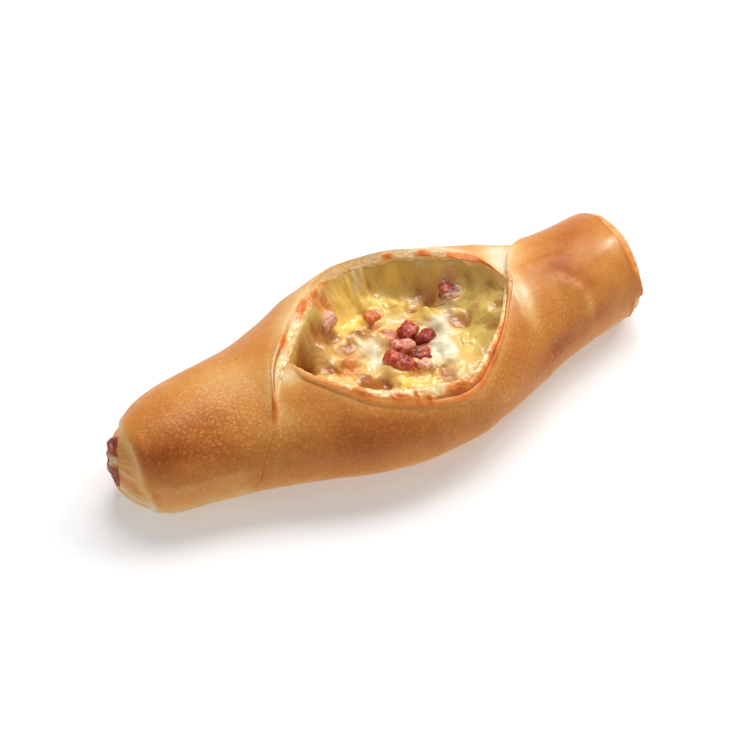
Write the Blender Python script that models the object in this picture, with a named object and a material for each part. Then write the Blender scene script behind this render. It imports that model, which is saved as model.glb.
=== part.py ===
# A peinirli: a sheet of bread dough rolled over from both long sides into a slim roll.
# Its two edges part in the middle like a boat, over melted cheese and diced ham.
# +X runs along the roll, +Z is up and -Y is the near side. The roll lies on its flat
# underside, and the origin is under the middle of its box.
# Angles go round a section in degrees: 0 is the far side, 90 the top, 180 the near side.

import math

import bmesh
import bpy
import numpy as np
from mathutils import Matrix, Vector

MM = 0.001
GAP = 0.3                    # clearance between pieces that touch, mm
BOX_MIDDLE = (2.4, -2.94)   # the middle of the box in the drawing's own x and y, mm

LEFT_TIP = -117.6            # ends of the dough, mm
RIGHT_TIP = 122.4
LEFT_CORNER = -41.0          # corners of the opening, mm
RIGHT_CORNER = 59.5
CAVITY_FLOOR = 9.0           # height of the dough under the filling, mm
CAVITY_SQUARENESS = 3.2      # 2 is round in section, more is boxy
BASE_SINK = 1.5              # how far the round underside is flattened, mm

# stations of the roll, mm: place along it, half width near and far, top near and far,
# sideways shift of its middle and lift of its underside
ROLL = np.array((
    (-117.6, 7, 6.5, 33, 33, 4.0, 5.0),
    (-115, 12.5, 11, 36.5, 36.5, 2.4, 2.0),
    (-110, 18.5, 16.5, 40.5, 40.5, 0.8, 0),
    (-100, 24.5, 24.5, 43, 43, 0, 0),
    (-85, 27.5, 29, 44, 44, 0, 0),
    (-60, 34, 31, 46, 46, 0, 0),
    (-40, 41.6, 35.6, 49, 49, 0, 0),
    (-20, 49, 43, 52, 55.5, 0, 0),
    (0, 52.3, 46.6, 53, 61.5, 0, 0),
    (20, 51.3, 45.3, 53, 60, 0, 0),
    (40, 46, 41.5, 50, 53, 0, 0),
    (60, 38, 36.8, 46, 46, 0, 0),
    (80, 30, 26.8, 45.5, 44.5, 0, 0),
    (100, 25.5, 27, 45, 45, 0.6, 0),
    (112, 23.5, 28, 43.5, 43.5, 1.5, 0),
    (119, 22.5, 27.5, 41.8, 41.8, 2.0, 0),
    (122.4, 19, 23.5, 37, 37, 3.0, 3.0),
))

# outer line of each lip: place along the roll, mm, and angle round it. The far lip's line
# runs on over the left of the roll as a seam, and the near lip's over the right.
FAR_LINE = np.array((
    (-118, 202), (-78, 202), (-71.4, 188), (-65.6, 150), (-57.3, 124), (-49.4, 94),
    (-41, 78), (-28.6, 58), (-15, 46), (0, 38), (10, 36), (25, 36.5), (38, 42), (48, 52),
    (55, 62), (58, 76), (59.5, 86.5),
))
NEAR_LINE = np.array((
    (-41, 107), (-30, 124), (-19, 136.5), (-3, 146), (9, 152), (17, 154.5), (24, 152.5),
    (32, 144.5), (44, 130), (53.5, 113.5), (59.5, 101.5), (66, 82), (74, 62), (85, 32),
    (92, -10), (100, -30), (122.4, -30),
))
# width of the cut edge beside each line, in degrees round the section
FAR_BAND = np.array((
    (-118, 3), (-78, 3), (-65.6, 6), (-57, 10.5), (-50, 13.5), (-41, 14.5), (-30, 15), (-20, 12),
    (-12, 8), (0, 6.5), (20, 6), (35, 8), (46, 12), (53, 13), (57, 8), (59.5, 4),
))
NEAR_BAND = np.array((
    (-41, 12), (-35, 6.5), (-28, 9), (-9.5, 11.6), (1, 13), (15, 15.3), (22, 14.7), (30, 11),
    (42, 8), (50, 6), (59.5, 5.5), (66, 6), (80, 6), (92, 3), (122.4, 3),
))
# the far lip's inner edge lies lower than its outer line: place along the roll and drop, mm
FAR_DROP = np.array((
    (-41, 1.5), (-30, 4), (-20, 6), (-10, 7), (0, 6.5), (20, 6), (40, 4), (50, 2.5), (59.5, 0),
))
# height of the step where one edge lies over the other, mm
LEFT_STEP = np.array((
    (-118, 0), (-76, 0), (-70, 0.9), (-60, 2.4), (-50, 3), (-41, 3), (-30, 1.5), (-18, 0),
))
RIGHT_STEP = np.array((
    (36, 0), (50, 1.2), (59.5, 2.4), (68, 2.4), (78, 1.8), (88, 0.8), (95, 0), (122.4, 0),
))
STEP_SPREAD = 28.0           # degrees over which a step fades out
LIP_BULGE = 0.5              # rounding of a lip's cut edge, mm
RIM_INSET = 1.2              # how far the dough inside each end stands back from the crust, mm

# the filling inside the closed ends of the roll: place along it, sideways shift,
# height of its middle, half width and half height, mm
CORE = np.array((
    (-119, 4.2, 22, 4.4, 13.5), (-112, 3.5, 22, 5, 13.5), (-90, 1, 21, 6, 9), (-60, 0, 19, 9, 8),
    (-42, 2, 17, 10, 7), (-32, 4, 16, 8, 6), (44, 0, 17, 9, 6), (60, 0, 18, 10, 8),
    (80, 0, 20, 8, 9), (110, 2, 20, 4, 12), (123.4, 3, 19, 3.6, 11.5),
))
CORE_STARTS = (-33, 45)      # inner ends of the left and right run, mm
CORE_REACH = 0.8             # how far a run comes out of the dough, mm
TUNNEL_ENDS = (-126, 128)    # outer ends of the holes for the runs, outside the dough, mm
CORE_PLACES = 12             # sections along each run and points round each section
# rounding where a run comes out: distance from its tip in mm and size of the section
CORE_TIP = ((0.0, 0.5), (0.7, 0.8), (2.4, 1.0))

FILLING_ENDS = (LEFT_CORNER + 2, RIGHT_CORNER - 1.5)    # ends of the filling in the opening, mm
CHEESE_LEVEL = 27.5          # height of the cheese in the middle of the opening, mm
CHEESE_TILT = -0.13          # rise for each mm towards the far side
RIGHT_RISE = (11, 36, 58)    # how much it rises, and between which places along the roll
LEFT_RISE = (9, 6, 28)
# lumps of the melted cheese: place, height (a negative one is a hollow) and radius, mm
LUMPS = (
    (29.0, 9.6, 6.0, 5.0),
    (20.5, 19.5, 4.0, 5.5),
    (10.5, 23.0, 4.0, 7.0),
    (-5.5, 14.0, 3.5, 7.0),
    (0.0, 14.0, 2.5, 4.0),
    (2.5, 8.5, 3.0, 3.5),
    (4.6, 3.2, 3.0, 3.5),
    (-0.5, 1.0, 3.0, 6.0),
    (-12.5, -3.5, 4.0, 6.0),
    (-12.5, -14.0, 3.5, 5.0),
    (31.0, 1.0, 3.0, 4.5),
    (26.0, -10.5, 3.5, 5.0),
    (24.0, -20.5, 3.0, 5.0),
    (16.5, -21.5, 2.5, 4.5),
    (0.5, -22.0, 3.0, 4.5),
    (39.0, 7.5, 3.5, 5.0),
    (47.0, -6.0, 2.0, 6.0),
    (44.0, 20.0, 3.0, 7.0),
    (-6.0, 30.0, 3.0, 6.0),
    (14.5, -6.0, -3.0, 5.0),
    (-20.0, 8.0, 3.0, 5.0),
    (-33.0, 4.0, -15.0, 8.0),
    (-5.5, -17.0, -3.0, 4.0),
    (35.0, 15.0, -4.0, 5.0),
    (24.0, 28.0, -3.0, 6.0),
    (-24.0, -3.0, -4.0, 6.0),
    (-13.0, 21.5, 4.0, 5.0),
)
# the cheese is drawn up the far wall: place along the roll, how far under the lip it ends and
# how far from the wall it starts to rise, mm
COVE = np.array((
    (-41, 9, 5), (-34, 5, 7), (-26, 2, 10), (-15, 1.2, 14), (10, 1.2, 14), (18, 2.5, 14),
    (40, 2.5, 12), (52, 2, 9), (59.5, 2, 6),
))
COVE_CURVE = 2.2             # how hollow that rise is

# diced ham: name, place, rise of its middle over the cheese, size, and turn about Z, X and Y
HAM_DICE = (
    ("ham_2", (17.4, 3.3), 1.9, (6.6, 6.2, 6.4), (20, 8, 4)),
    ("ham_3", (21.9, -4.2), 0.5, (6.8, 5.8, 6.0), (38, -12, 10)),
    ("ham_4", (15.3, -11.0), 1.2, (7.6, 6.2, 6.6), (-24, 14, -6)),
    ("ham_5", (11.3, -3.6), 1.4, (8.4, 5.2, 6.0), (8, -6, 12)),
    ("ham_6", (13.0, -17.8), 1.3, (4.2, 4.2, 4.0), (30, 10, 0)),
    ("ham_7", (7.8, 17.6), 0.9, (5.6, 5.4, 4.2), (15, 0, 12)),
    ("ham_8", (8.0, 3.4), 0.9, (5.2, 5.8, 4.8), (-32, 10, 0)),
    ("ham_9", (43.4, 12.2), 1.4, (9.8, 8.0, 6.0), (-18, 12, 8)),
    ("ham_10", (-12.8, 20.2), 1.4, (7.0, 6.4, 6.0), (24, -14, 6)),
)
# the long curved slice of ham: middle of its arc, radius, span in degrees, half width and
# half height, and rise over the cheese
CRESCENT_MIDDLE = (14.6, -8.0)
CRESCENT_RADIUS = 11.0
CRESCENT_SPAN = (166, 240)
CRESCENT_HALF = (3.3, 3.4)
CRESCENT_RISE = 2.6

SHARP_ANGLE = math.radians(50)
OUTER_POINTS = 24            # points round the crust, lip to lip
CAVITY_POINTS = 7            # points down, across and up the cavity


def smooth(x, table, column=1):
    """A cubic through a table's stations that never overshoots them."""
    stations, values = table[:, 0], table[:, column]
    steps = np.diff(stations)
    slopes = np.diff(values) / steps
    tangents = np.zeros(len(values))
    for k in range(1, len(slopes)):
        if slopes[k - 1] * slopes[k] > 0:
            tangents[k] = 2 * slopes[k - 1] * slopes[k] / (slopes[k - 1] + slopes[k])
    tangents[0], tangents[-1] = slopes[0], slopes[-1]
    k = int(np.clip(np.searchsorted(stations, x) - 1, 0, len(steps) - 1))
    t = min(max((x - stations[k]) / steps[k], 0.0), 1.0)
    return float(
        (2 * t**3 - 3 * t**2 + 1) * values[k]
        + (t**3 - 2 * t**2 + t) * steps[k] * tangents[k]
        + (3 * t**2 - 2 * t**3) * values[k + 1]
        + (t**3 - t**2) * steps[k] * tangents[k + 1]
    )


def ramp(value, low, high):
    """0 below low, 1 above high, smooth between."""
    t = min(max((value - low) / (high - low), 0.0), 1.0)
    return t * t * (3 - 2 * t)


def turn(angle):
    """An angle brought into -180 to 180."""
    return (angle + 180.0) % 360.0 - 180.0


def lip_lines(x):
    """Angles of far outer, far inner, near inner and near outer line at a place along the roll."""
    if x < LEFT_CORNER:
        far = smooth(x, FAR_LINE)
        foot = far + smooth(x, FAR_BAND)
        beyond = 3 + 9 * ramp(x, -55, LEFT_CORNER)
        return far, foot, foot + 2.4, foot + 2.4 + beyond
    if x > RIGHT_CORNER:
        near = smooth(x, NEAR_LINE)
        foot = near - smooth(x, NEAR_BAND)
        beyond = 3 + ramp(-x, -75, -RIGHT_CORNER)
        return foot - 2.0 - beyond, foot - 2.0, foot, near
    far, near = smooth(x, FAR_LINE), smooth(x, NEAR_LINE)
    return far, far + smooth(x, FAR_BAND), near - smooth(x, NEAR_BAND), near


def seam_step(x, angle):
    """How far the crust stands out beside the two seams, mm."""
    offset = 0.0
    for line, table, side in ((0, LEFT_STEP, 1), (3, RIGHT_STEP, -1)):
        height = smooth(x, table) if table[0, 0] <= x <= table[-1, 0] else 0.0
        if height > 0:
            away = turn(angle - lip_lines(x)[line]) * side
            fade = math.exp(-abs(away) / STEP_SPREAD)
            offset += height * fade * (0.6 if away <= 0.01 else -0.4)
    return offset


def rim_place(angle, left):
    """Where the crust ends, along the roll."""
    around = abs(turn(angle - 125.0))
    if left:
        return -111.6 + 3.0 * ramp(around, 30, 90)
    return 115.0 + 4.0 * ramp(turn(angle), 110, 170)


def crust(x, angle, drop=0.0):
    """A point of the crust's outside."""
    near_half, far_half, near_top, far_top, shift, lift = (smooth(x, ROLL, k) for k in range(1, 7))
    c, s = math.cos(math.radians(angle)), math.sin(math.radians(angle))
    top = far_top if c > 0 else near_top
    middle = 0.45 * min(0.5 * (near_top + far_top), 50)
    if s > 0:
        y, z = c, middle + (top - middle) * s
    else:
        y = math.copysign(abs(c) ** 0.85, c)
        z = middle - (middle + BASE_SINK) * abs(s) ** 0.85
    y = shift + y * (far_half if c > 0 else near_half)
    out = seam_step(x, angle)
    out -= RIM_INSET * ramp(rim_place(angle, True) - x, 0.2, 1.2)
    out -= RIM_INSET * ramp(x - rim_place(angle, False), 0.2, 1.2)
    y += out * c
    z += out * s - drop
    return (x, y, max(z, 0.0) * (1 - lift / top) + lift)


def cavity_depth(x):
    """Depth of the cavity, 0 at the corners of the opening and 1 in the middle."""
    middle, half = 0.5 * (LEFT_CORNER + RIGHT_CORNER), 0.5 * (RIGHT_CORNER - LEFT_CORNER)
    u = min(abs((x - middle) / half), 1.0)
    return (1 - u**5) ** (1 / 2.2)


def cavity_wall(x, inset=0.0):
    """Points down the far wall of the cavity, over its floor and up the near wall."""
    _, far_inner, near_inner, _ = lip_lines(x)
    inside = LEFT_CORNER <= x <= RIGHT_CORNER
    far = crust(x, far_inner, smooth(x, FAR_DROP) if inside else 0.0)
    near = crust(x, near_inner)
    depth = cavity_depth(x)
    points = []
    for k in range(CAVITY_POINTS + 2):
        phi = math.pi * k / (CAVITY_POINTS + 1)
        across = math.copysign(abs(math.cos(phi)) ** (2 / CAVITY_SQUARENESS), math.cos(phi))
        down = math.sin(phi) ** (2 / CAVITY_SQUARENESS) if 0 < k <= CAVITY_POINTS else 0.0
        share = 0.5 - 0.5 * across
        edge = far[2] + (near[2] - far[2]) * share
        if depth > 0:
            half = 0.5 * (far[1] - near[1])
            across *= (half - inset) / half
            y = 0.5 * (far[1] + near[1]) + half * across
            z = edge - (edge - CAVITY_FLOOR) * depth * down + inset * down
        else:
            _, y, z = crust(x, far_inner + (near_inner - far_inner) * share)
        points.append((x, y, z))
    return points


def lip_bulge(x, low, high, drop, height):
    """The rounded middle of a lip's cut edge, between two angles."""
    _, y, z = crust(x, 0.5 * (low + high), drop)
    angle = math.radians(0.5 * (low + high))
    return (x, y + height * math.cos(angle), z + height * math.sin(angle))


def bread_ring(x):
    """One section of the bread: crust, near lip, cavity and far lip as one closed loop."""
    far_outer, far_inner, near_inner, near_outer = lip_lines(x)
    ring = []
    for k in range(OUTER_POINTS):
        angle = near_outer + (far_outer + 360 - near_outer) * k / (OUTER_POINTS - 1)
        ring.append(crust(x, angle))
    far_bulge = near_bulge = LIP_BULGE
    drop = 0.5 * smooth(x, FAR_DROP)
    if x <= LEFT_CORNER:
        near_bulge = drop = 0.0
        far_bulge *= min(smooth(x, LEFT_STEP), 1.0)
    if x >= RIGHT_CORNER:
        far_bulge = drop = 0.0
        near_bulge *= min(smooth(x, RIGHT_STEP), 1.0)
    ring.append(lip_bulge(x, far_outer, far_inner, drop, far_bulge))
    ring.extend(cavity_wall(x))
    ring.append(lip_bulge(x, near_inner, near_outer, 0.0, near_bulge))
    return ring


def places_along():
    """Places of the bread's sections, closer together at the ends and at the corners."""
    spans = (
        (LEFT_TIP, -106, 8), (-106, -80, 6), (-80, -74, 3), (-74, -62, 10), (-62, -45, 8),
        (-45, -34, 9), (-34, -14, 7), (-14, 30, 10), (30, 50, 7), (50, 57, 4), (57, 62, 6),
        (62, 74, 6), (74, 96, 9), (96, 112, 4), (112, RIGHT_TIP, 7),
    )
    places = []
    for low, high, count in spans:
        places.extend(np.linspace(low, high, count, endpoint=False))
    return [float(p) for p in places] + [RIGHT_TIP]


def in_frame(x, y, z):
    """A drawing point in mm as a point of the part's frame in metres."""
    return ((x - BOX_MIDDLE[0]) * MM, (y - BOX_MIDDLE[1]) * MM, z * MM)


def loft(name, rings):
    """A closed mesh object through a row of rings with the same number of points."""
    shape = bmesh.new()
    rows = []
    for ring in rings:
        rows.append([shape.verts.new(in_frame(*point)) for point in ring])
    count = len(rows[0])
    for a, b in zip(rows, rows[1:]):
        for k in range(count):
            shape.faces.new((a[k], a[(k + 1) % count], b[(k + 1) % count], b[k]))
    shape.faces.new(rows[0])
    shape.faces.new(rows[-1])
    return finish(name, shape)


def finish(name, shape):
    """Turn a bmesh into an object, all triangles and facing outwards."""
    bmesh.ops.triangulate(shape, faces=shape.faces[:])
    bmesh.ops.recalc_face_normals(shape, faces=shape.faces[:])
    if shape.calc_volume(signed=True) < 0:
        bmesh.ops.reverse_faces(shape, faces=shape.faces[:])
    mesh = bpy.data.meshes.new(name)
    shape.to_mesh(mesh)
    shape.free()
    mesh.shade_smooth()
    mesh.set_sharp_from_angle(angle=SHARP_ANGLE)
    return bpy.data.objects.new(name, mesh)


def combine(piece, other, operation):
    """Apply one Boolean to a piece and drop the other object."""
    modifier = piece.modifiers.new(operation.title(), "BOOLEAN")
    modifier.operation = operation
    modifier.object = other
    bpy.context.view_layer.update()
    result = bpy.data.meshes.new_from_object(piece.evaluated_get(bpy.context.evaluated_depsgraph_get()))
    piece.modifiers.remove(modifier)
    old = piece.data
    piece.data = result
    result.name = piece.name
    bpy.data.meshes.remove(old)
    bpy.data.objects.remove(other, do_unlink=True)


def core_loft(name, inner, outer, grow, tip=((0.0, 1.0),)):
    """The filling's run through a closed end of the roll, as a loft of ellipses."""
    inwards = math.copysign(1.0, inner - outer)
    places = [(outer + inwards * distance, size) for distance, size in tip]
    places += [(x, 1.0) for x in np.linspace(places[-1][0], inner, CORE_PLACES)[1:]]
    rings = []
    for x, size in places:
        shift, height, half_width, half_height = (smooth(x, CORE, k) for k in range(1, 5))
        ring = []
        for k in range(CORE_PLACES):
            a = 2 * math.pi * k / CORE_PLACES
            wide, high = size * (half_width + grow), size * (half_height + grow)
            ring.append((float(x), shift + wide * math.cos(a), height + high * math.sin(a)))
        rings.append(ring)
    return loft(name, rings)


def cheese_height(x, y):
    """Height of the melted cheese."""
    z = CHEESE_LEVEL + CHEESE_TILT * y
    z += RIGHT_RISE[0] * ramp(x, *RIGHT_RISE[1:]) + LEFT_RISE[0] * ramp(-x, *LEFT_RISE[1:])
    for px, py, height, radius in LUMPS:
        z += height * math.exp(-((x - px) ** 2 + (y - py) ** 2) / radius**2 * 1.6)
    _, far_wall, lip_height = crust(x, lip_lines(x)[1], smooth(x, FAR_DROP))
    share = min(max(1 + (y - far_wall) / smooth(x, COVE, 2), 0.0), 1.0)
    return z + max(lip_height - smooth(x, COVE) - z, 0.0) * share**COVE_CURVE


def cheese_block(name):
    """A block under the cheese's uneven surface, wider than the cavity."""
    step, half = 2.6, 52.0
    xs = np.arange(LEFT_CORNER - 6, RIGHT_CORNER + 6 + step, step)
    ys = np.arange(-half, half + step, step)
    shape = bmesh.new()
    top = [[shape.verts.new((x, y, cheese_height(x, y))) for y in ys] for x in xs]
    low = [[shape.verts.new((x, y, 1.0)) for y in (ys[0], ys[-1])] for x in (xs[0], xs[-1])]
    for i in range(len(xs) - 1):
        for k in range(len(ys) - 1):
            shape.faces.new((top[i][k], top[i + 1][k], top[i + 1][k + 1], top[i][k + 1]))
    shape.faces.new([top[i][0] for i in range(len(xs))] + [low[1][0], low[0][0]])
    shape.faces.new([top[i][-1] for i in range(len(xs))] + [low[1][1], low[0][1]])
    shape.faces.new([top[0][k] for k in range(len(ys))] + [low[0][1], low[0][0]])
    shape.faces.new([top[-1][k] for k in range(len(ys))] + [low[1][1], low[1][0]])
    shape.faces.new((low[0][0], low[0][1], low[1][1], low[1][0]))
    for v in shape.verts:
        v.co = in_frame(*v.co)
    return finish(name, shape)


def ham_cube(name, place, rise, size, angles, grow=0.0):
    """One piece of diced ham: a block with chamfered, slightly uneven corners."""
    shape = bmesh.new()
    bmesh.ops.create_cube(shape, size=1.0)
    draw = np.random.default_rng(int(name.split("_")[-1]) + 40)
    for v in shape.verts:
        uneven = 1 + 0.12 * (draw.random(3) - 0.5)
        v.co = [v.co[k] * (size[k] + 2 * grow) * uneven[k] for k in range(3)]
    bmesh.ops.bevel(
        shape, geom=shape.edges[:], offset=0.16 * min(size), offset_type="OFFSET",
        segments=1, profile=0.5, affect="EDGES",
    )
    rz, rx, ry = (math.radians(a) for a in angles)
    tilt = Matrix.Rotation(rz, 3, "Z") @ Matrix.Rotation(rx, 3, "X") @ Matrix.Rotation(ry, 3, "Y")
    middle = Vector((*place, cheese_height(*place) + rise))
    for v in shape.verts:
        v.co = in_frame(*(tilt @ v.co + middle))
    return finish(name, shape)


def ham_crescent(name, grow=0.0):
    """The long slice of ham, curved like a quarter of a ring."""
    start, end = (math.radians(a) for a in CRESCENT_SPAN)
    ends = grow / CRESCENT_RADIUS
    sections, around = 9, 8
    rings = []
    for i in range(sections):
        t = i / (sections - 1)
        a = start + (end - start) * t + ends * (2 * t - 1)
        taper = 0.5 + 0.5 * math.sin(math.pi * (0.08 + 0.84 * t))
        along = (math.cos(a), math.sin(a))
        mid = [CRESCENT_MIDDLE[k] + CRESCENT_RADIUS * along[k] for k in range(2)]
        height = cheese_height(*mid) + CRESCENT_RISE
        ring = []
        for k in range(around):
            b = 2 * math.pi * (k + 0.5) / around
            out = (CRESCENT_HALF[0] * taper + grow) * math.cos(b) * 1.08
            up = (CRESCENT_HALF[1] * taper + grow) * math.sin(b) * 1.08
            ring.append((mid[0] + out * along[0], mid[1] + out * along[1], height + up))
        rings.append(ring)
    return loft(name, rings)


def material(name, color, roughness):
    """A Principled BSDF with one colour."""
    look = bpy.data.materials.new(name)
    look.use_nodes = True
    shader = look.node_tree.nodes["Principled BSDF"]
    shader.inputs["Base Color"].default_value = (*color, 1.0)
    shader.inputs["Roughness"].default_value = roughness
    shader.inputs["Metallic"].default_value = 0.0
    return look


def main():
    for thing in list(bpy.data.objects):
        bpy.data.objects.remove(thing, do_unlink=True)
    pieces = bpy.data.collections.new("peinirli")
    bpy.context.scene.collection.children.link(pieces)

    def keep(piece, look):
        pieces.objects.link(piece)
        piece.data.materials.clear()
        piece.data.materials.append(look)

    crust_look = material("baked_crust", (0.62, 0.33, 0.12), 0.45)
    cheese_look = material("melted_cheese", (0.86, 0.74, 0.38), 0.3)
    ham_look = material("diced_ham", (0.66, 0.20, 0.16), 0.4)

    places = places_along()
    bread = loft("bread", [bread_ring(x) for x in places])
    pieces.objects.link(bread)
    for inner, outer in zip(CORE_STARTS, TUNNEL_ENDS):
        tunnel = core_loft("tunnel", inner, outer, GAP)
        pieces.objects.link(tunnel)
        combine(bread, tunnel, "DIFFERENCE")

    inside = [x for x in places if FILLING_ENDS[0] < x < FILLING_ENDS[1]]
    filling = loft("filling", [cavity_wall(x, GAP) for x in inside])
    pieces.objects.link(filling)
    block = cheese_block("block")
    pieces.objects.link(block)
    combine(filling, block, "INTERSECT")
    for inner, outer in zip(CORE_STARTS, (LEFT_TIP - CORE_REACH, RIGHT_TIP + CORE_REACH)):
        core = core_loft("core", inner, outer, 0.0, CORE_TIP)
        pieces.objects.link(core)
        combine(filling, core, "UNION")

    hams = [(ham_crescent, ("ham_1",))] + [(ham_cube, row) for row in HAM_DICE]
    for make, row in hams:
        pocket = make(*row, grow=GAP)
        pieces.objects.link(pocket)
        combine(filling, pocket, "DIFFERENCE")
    for piece in (bread, filling):
        pieces.objects.unlink(piece)
    keep(bread, crust_look)
    keep(filling, cheese_look)
    for make, row in hams:
        keep(make(*row), ham_look)


main()
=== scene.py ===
import bmesh
import bpy
import numpy as np
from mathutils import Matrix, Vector, noise


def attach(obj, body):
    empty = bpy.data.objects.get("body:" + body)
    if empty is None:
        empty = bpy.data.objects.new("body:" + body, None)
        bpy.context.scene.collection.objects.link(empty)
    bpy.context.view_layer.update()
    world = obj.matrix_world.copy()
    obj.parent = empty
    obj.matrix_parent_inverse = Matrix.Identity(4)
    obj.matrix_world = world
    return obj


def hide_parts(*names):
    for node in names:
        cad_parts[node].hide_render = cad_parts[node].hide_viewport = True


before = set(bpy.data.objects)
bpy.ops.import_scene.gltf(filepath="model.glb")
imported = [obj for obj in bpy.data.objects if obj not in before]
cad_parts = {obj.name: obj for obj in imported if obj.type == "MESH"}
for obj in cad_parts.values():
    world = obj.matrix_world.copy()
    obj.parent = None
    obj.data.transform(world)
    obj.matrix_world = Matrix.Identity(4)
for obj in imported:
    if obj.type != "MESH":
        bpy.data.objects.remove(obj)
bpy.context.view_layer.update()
print("frame loaded:", len(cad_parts), "nodes")

mm = 0.001
perDegree = 0.66                 # mm of crust for each degree round the roll
hamNodes = sorted(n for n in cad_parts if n.startswith("ham_"))

# the roll of dough: mm along it, and degrees round it, where 0 is far, 90 the top and 180 near
roll = {
    "middle": (2.4, -2.94),      # where the frame's origin lies in these sizes
    "leftTip": -117.6,
    "rightTip": 122.4,
    "leftCorner": -41.0,         # corners of the opening
    "rightCorner": 59.5,
    "cavityFloor": 9.0,
    "squareness": 3.2,           # of the cavity's section, where 2 is round
    "baseSink": 1.5,             # flattens the underside
    "stepSpread": 28.0,          # degrees in which the step at a lip fades out
    "rimInset": 1.2,
    "leftRim": (-111.6, 3.0),    # where each end's rim starts, and how far it moves round the roll
    "rightRim": (115.0, 4.0),
    # place, half width near and far, top near and far, sideways shift, lift of the underside
    "stations": (
        (-117.6, 7, 6.5, 33, 33, 4.0, 5.0), (-115, 12.5, 11, 36.5, 36.5, 2.4, 2.0),
        (-110, 18.5, 16.5, 40.5, 40.5, 0.8, 0), (-100, 24.5, 24.5, 43, 43, 0, 0),
        (-85, 27.5, 29, 44, 44, 0, 0), (-60, 34, 31, 46, 46, 0, 0),
        (-40, 41.6, 35.6, 49, 49, 0, 0), (-20, 49, 43, 52, 55.5, 0, 0),
        (0, 52.3, 46.6, 53, 61.5, 0, 0), (20, 51.3, 45.3, 53, 60, 0, 0),
        (40, 46, 41.5, 50, 53, 0, 0), (60, 38, 36.8, 46, 46, 0, 0),
        (80, 30, 26.8, 45.5, 44.5, 0, 0), (100, 25.5, 27, 45, 45, 0.6, 0),
        (112, 23.5, 28, 43.5, 43.5, 1.5, 0), (119, 22.5, 27.5, 41.8, 41.8, 2.0, 0),
        (122.4, 19, 23.5, 37, 37, 3.0, 3.0),
    ),
    # angle of each lip's outer line, which runs on over the closed roll as a seam
    "farLine": (
        (-118, 202), (-78, 202), (-71.4, 188), (-65.6, 150), (-57.3, 124), (-49.4, 94),
        (-41, 78), (-28.6, 58), (-15, 46), (0, 38), (10, 36), (25, 36.5), (38, 42), (48, 52),
        (55, 62), (58, 76), (59.5, 86.5),
    ),
    "nearLine": (
        (-41, 107), (-30, 124), (-19, 136.5), (-3, 146), (9, 152), (17, 154.5), (24, 152.5),
        (32, 144.5), (44, 130), (53.5, 113.5), (59.5, 101.5), (66, 82), (74, 62), (85, 32),
        (92, -10), (100, -30), (122.4, -30),
    ),
    # width of each cut edge in degrees
    "farBand": (
        (-118, 3), (-78, 3), (-65.6, 6), (-57, 10.5), (-50, 13.5), (-41, 14.5), (-30, 15), (-20, 12),
        (-12, 8), (0, 6.5), (20, 6), (35, 8), (46, 12), (53, 13), (57, 8), (59.5, 4),
    ),
    "nearBand": (
        (-41, 12), (-35, 6.5), (-28, 9), (-9.5, 11.6), (1, 13), (15, 15.3), (22, 14.7),
        (30, 11), (42, 8), (50, 6), (59.5, 5.5), (66, 6), (80, 6), (92, 3), (122.4, 3),
    ),
    # the far lip's inner edge lies lower
    "farDrop": (
        (-41, 1.5), (-30, 4), (-20, 6), (-10, 7), (0, 6.5), (20, 6), (40, 4), (50, 2.5), (59.5, 0),
    ),
    # height of the step where one edge lies over the other
    "leftStep": (
        (-118, 0), (-76, 0), (-70, 0.9), (-60, 2.4), (-50, 3), (-41, 3), (-30, 1.5), (-18, 0),
    ),
    "rightStep": (
        (36, 0), (50, 1.2), (59.5, 2.4), (68, 2.4), (78, 1.8), (88, 0.8), (95, 0), (122.4, 0),
    ),
    # run of the filling: place, shift, height, half width, half height
    "core": (
        (-119, 4.2, 22, 4.4, 13.5), (-112, 3.5, 22, 5, 13.5), (-90, 1, 21, 6, 9),
        (-60, 0, 19, 9, 8), (-42, 2, 17, 10, 7), (-32, 4, 16, 8, 6), (44, 0, 17, 9, 6),
        (60, 0, 18, 10, 8), (80, 0, 20, 8, 9), (110, 2, 20, 4, 12), (123.4, 3, 19, 3.6, 11.5),
    ),
}


def smooth(x, table, column=1):
    # a cubic through the table's stations that never overshoots them
    table = np.asarray(table, float)
    stations, values = table[:, 0], table[:, column]
    steps = np.diff(stations)
    slopes = np.diff(values) / steps
    tangents = np.zeros(len(values))
    product = slopes[:-1] * slopes[1:]
    same = product > 0
    tangents[1:-1][same] = 2 * product[same] / (slopes[:-1] + slopes[1:])[same]
    tangents[0], tangents[-1] = slopes[0], slopes[-1]
    k = np.clip(np.searchsorted(stations, x) - 1, 0, len(steps) - 1)
    t = np.clip((x - stations[k]) / steps[k], 0, 1)
    return (
        (2 * t**3 - 3 * t**2 + 1) * values[k]
        + (t**3 - 2 * t**2 + t) * steps[k] * tangents[k]
        + (3 * t**2 - 2 * t**3) * values[k + 1]
        + (t**3 - t**2) * steps[k] * tangents[k + 1]
    )


def ramp(value, low, high):
    t = np.clip((np.asarray(value, float) - low) / (high - low), 0, 1)
    return t * t * (3 - 2 * t)


def fall(value, high, low):
    # 1 up to high, 0 from low on
    return ramp(-value, -low, -high)


def turn(angle):
    return (angle + 180.0) % 360.0 - 180.0


def bell(distance, width):
    return np.exp(-((distance / width) ** 2))


def roughness(points, size, seed, octaves=2):
    # noise at each point, about -1 to 1; points in mm, size the width of a lump in mm
    shift = Vector((seed * 7.31, seed * 3.17, seed * 5.53))
    flat = np.asarray(points, float).reshape(-1, 3) / size
    values = [noise.fractal(Vector(p) + shift, 1.0, 2.0, octaves) for p in flat]
    return np.array(values).reshape(np.shape(points)[:-1])


def inFrame(points):
    points = np.array(points, float)
    points[..., 0] -= roll["middle"][0]
    points[..., 1] -= roll["middle"][1]
    return points * mm


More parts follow.
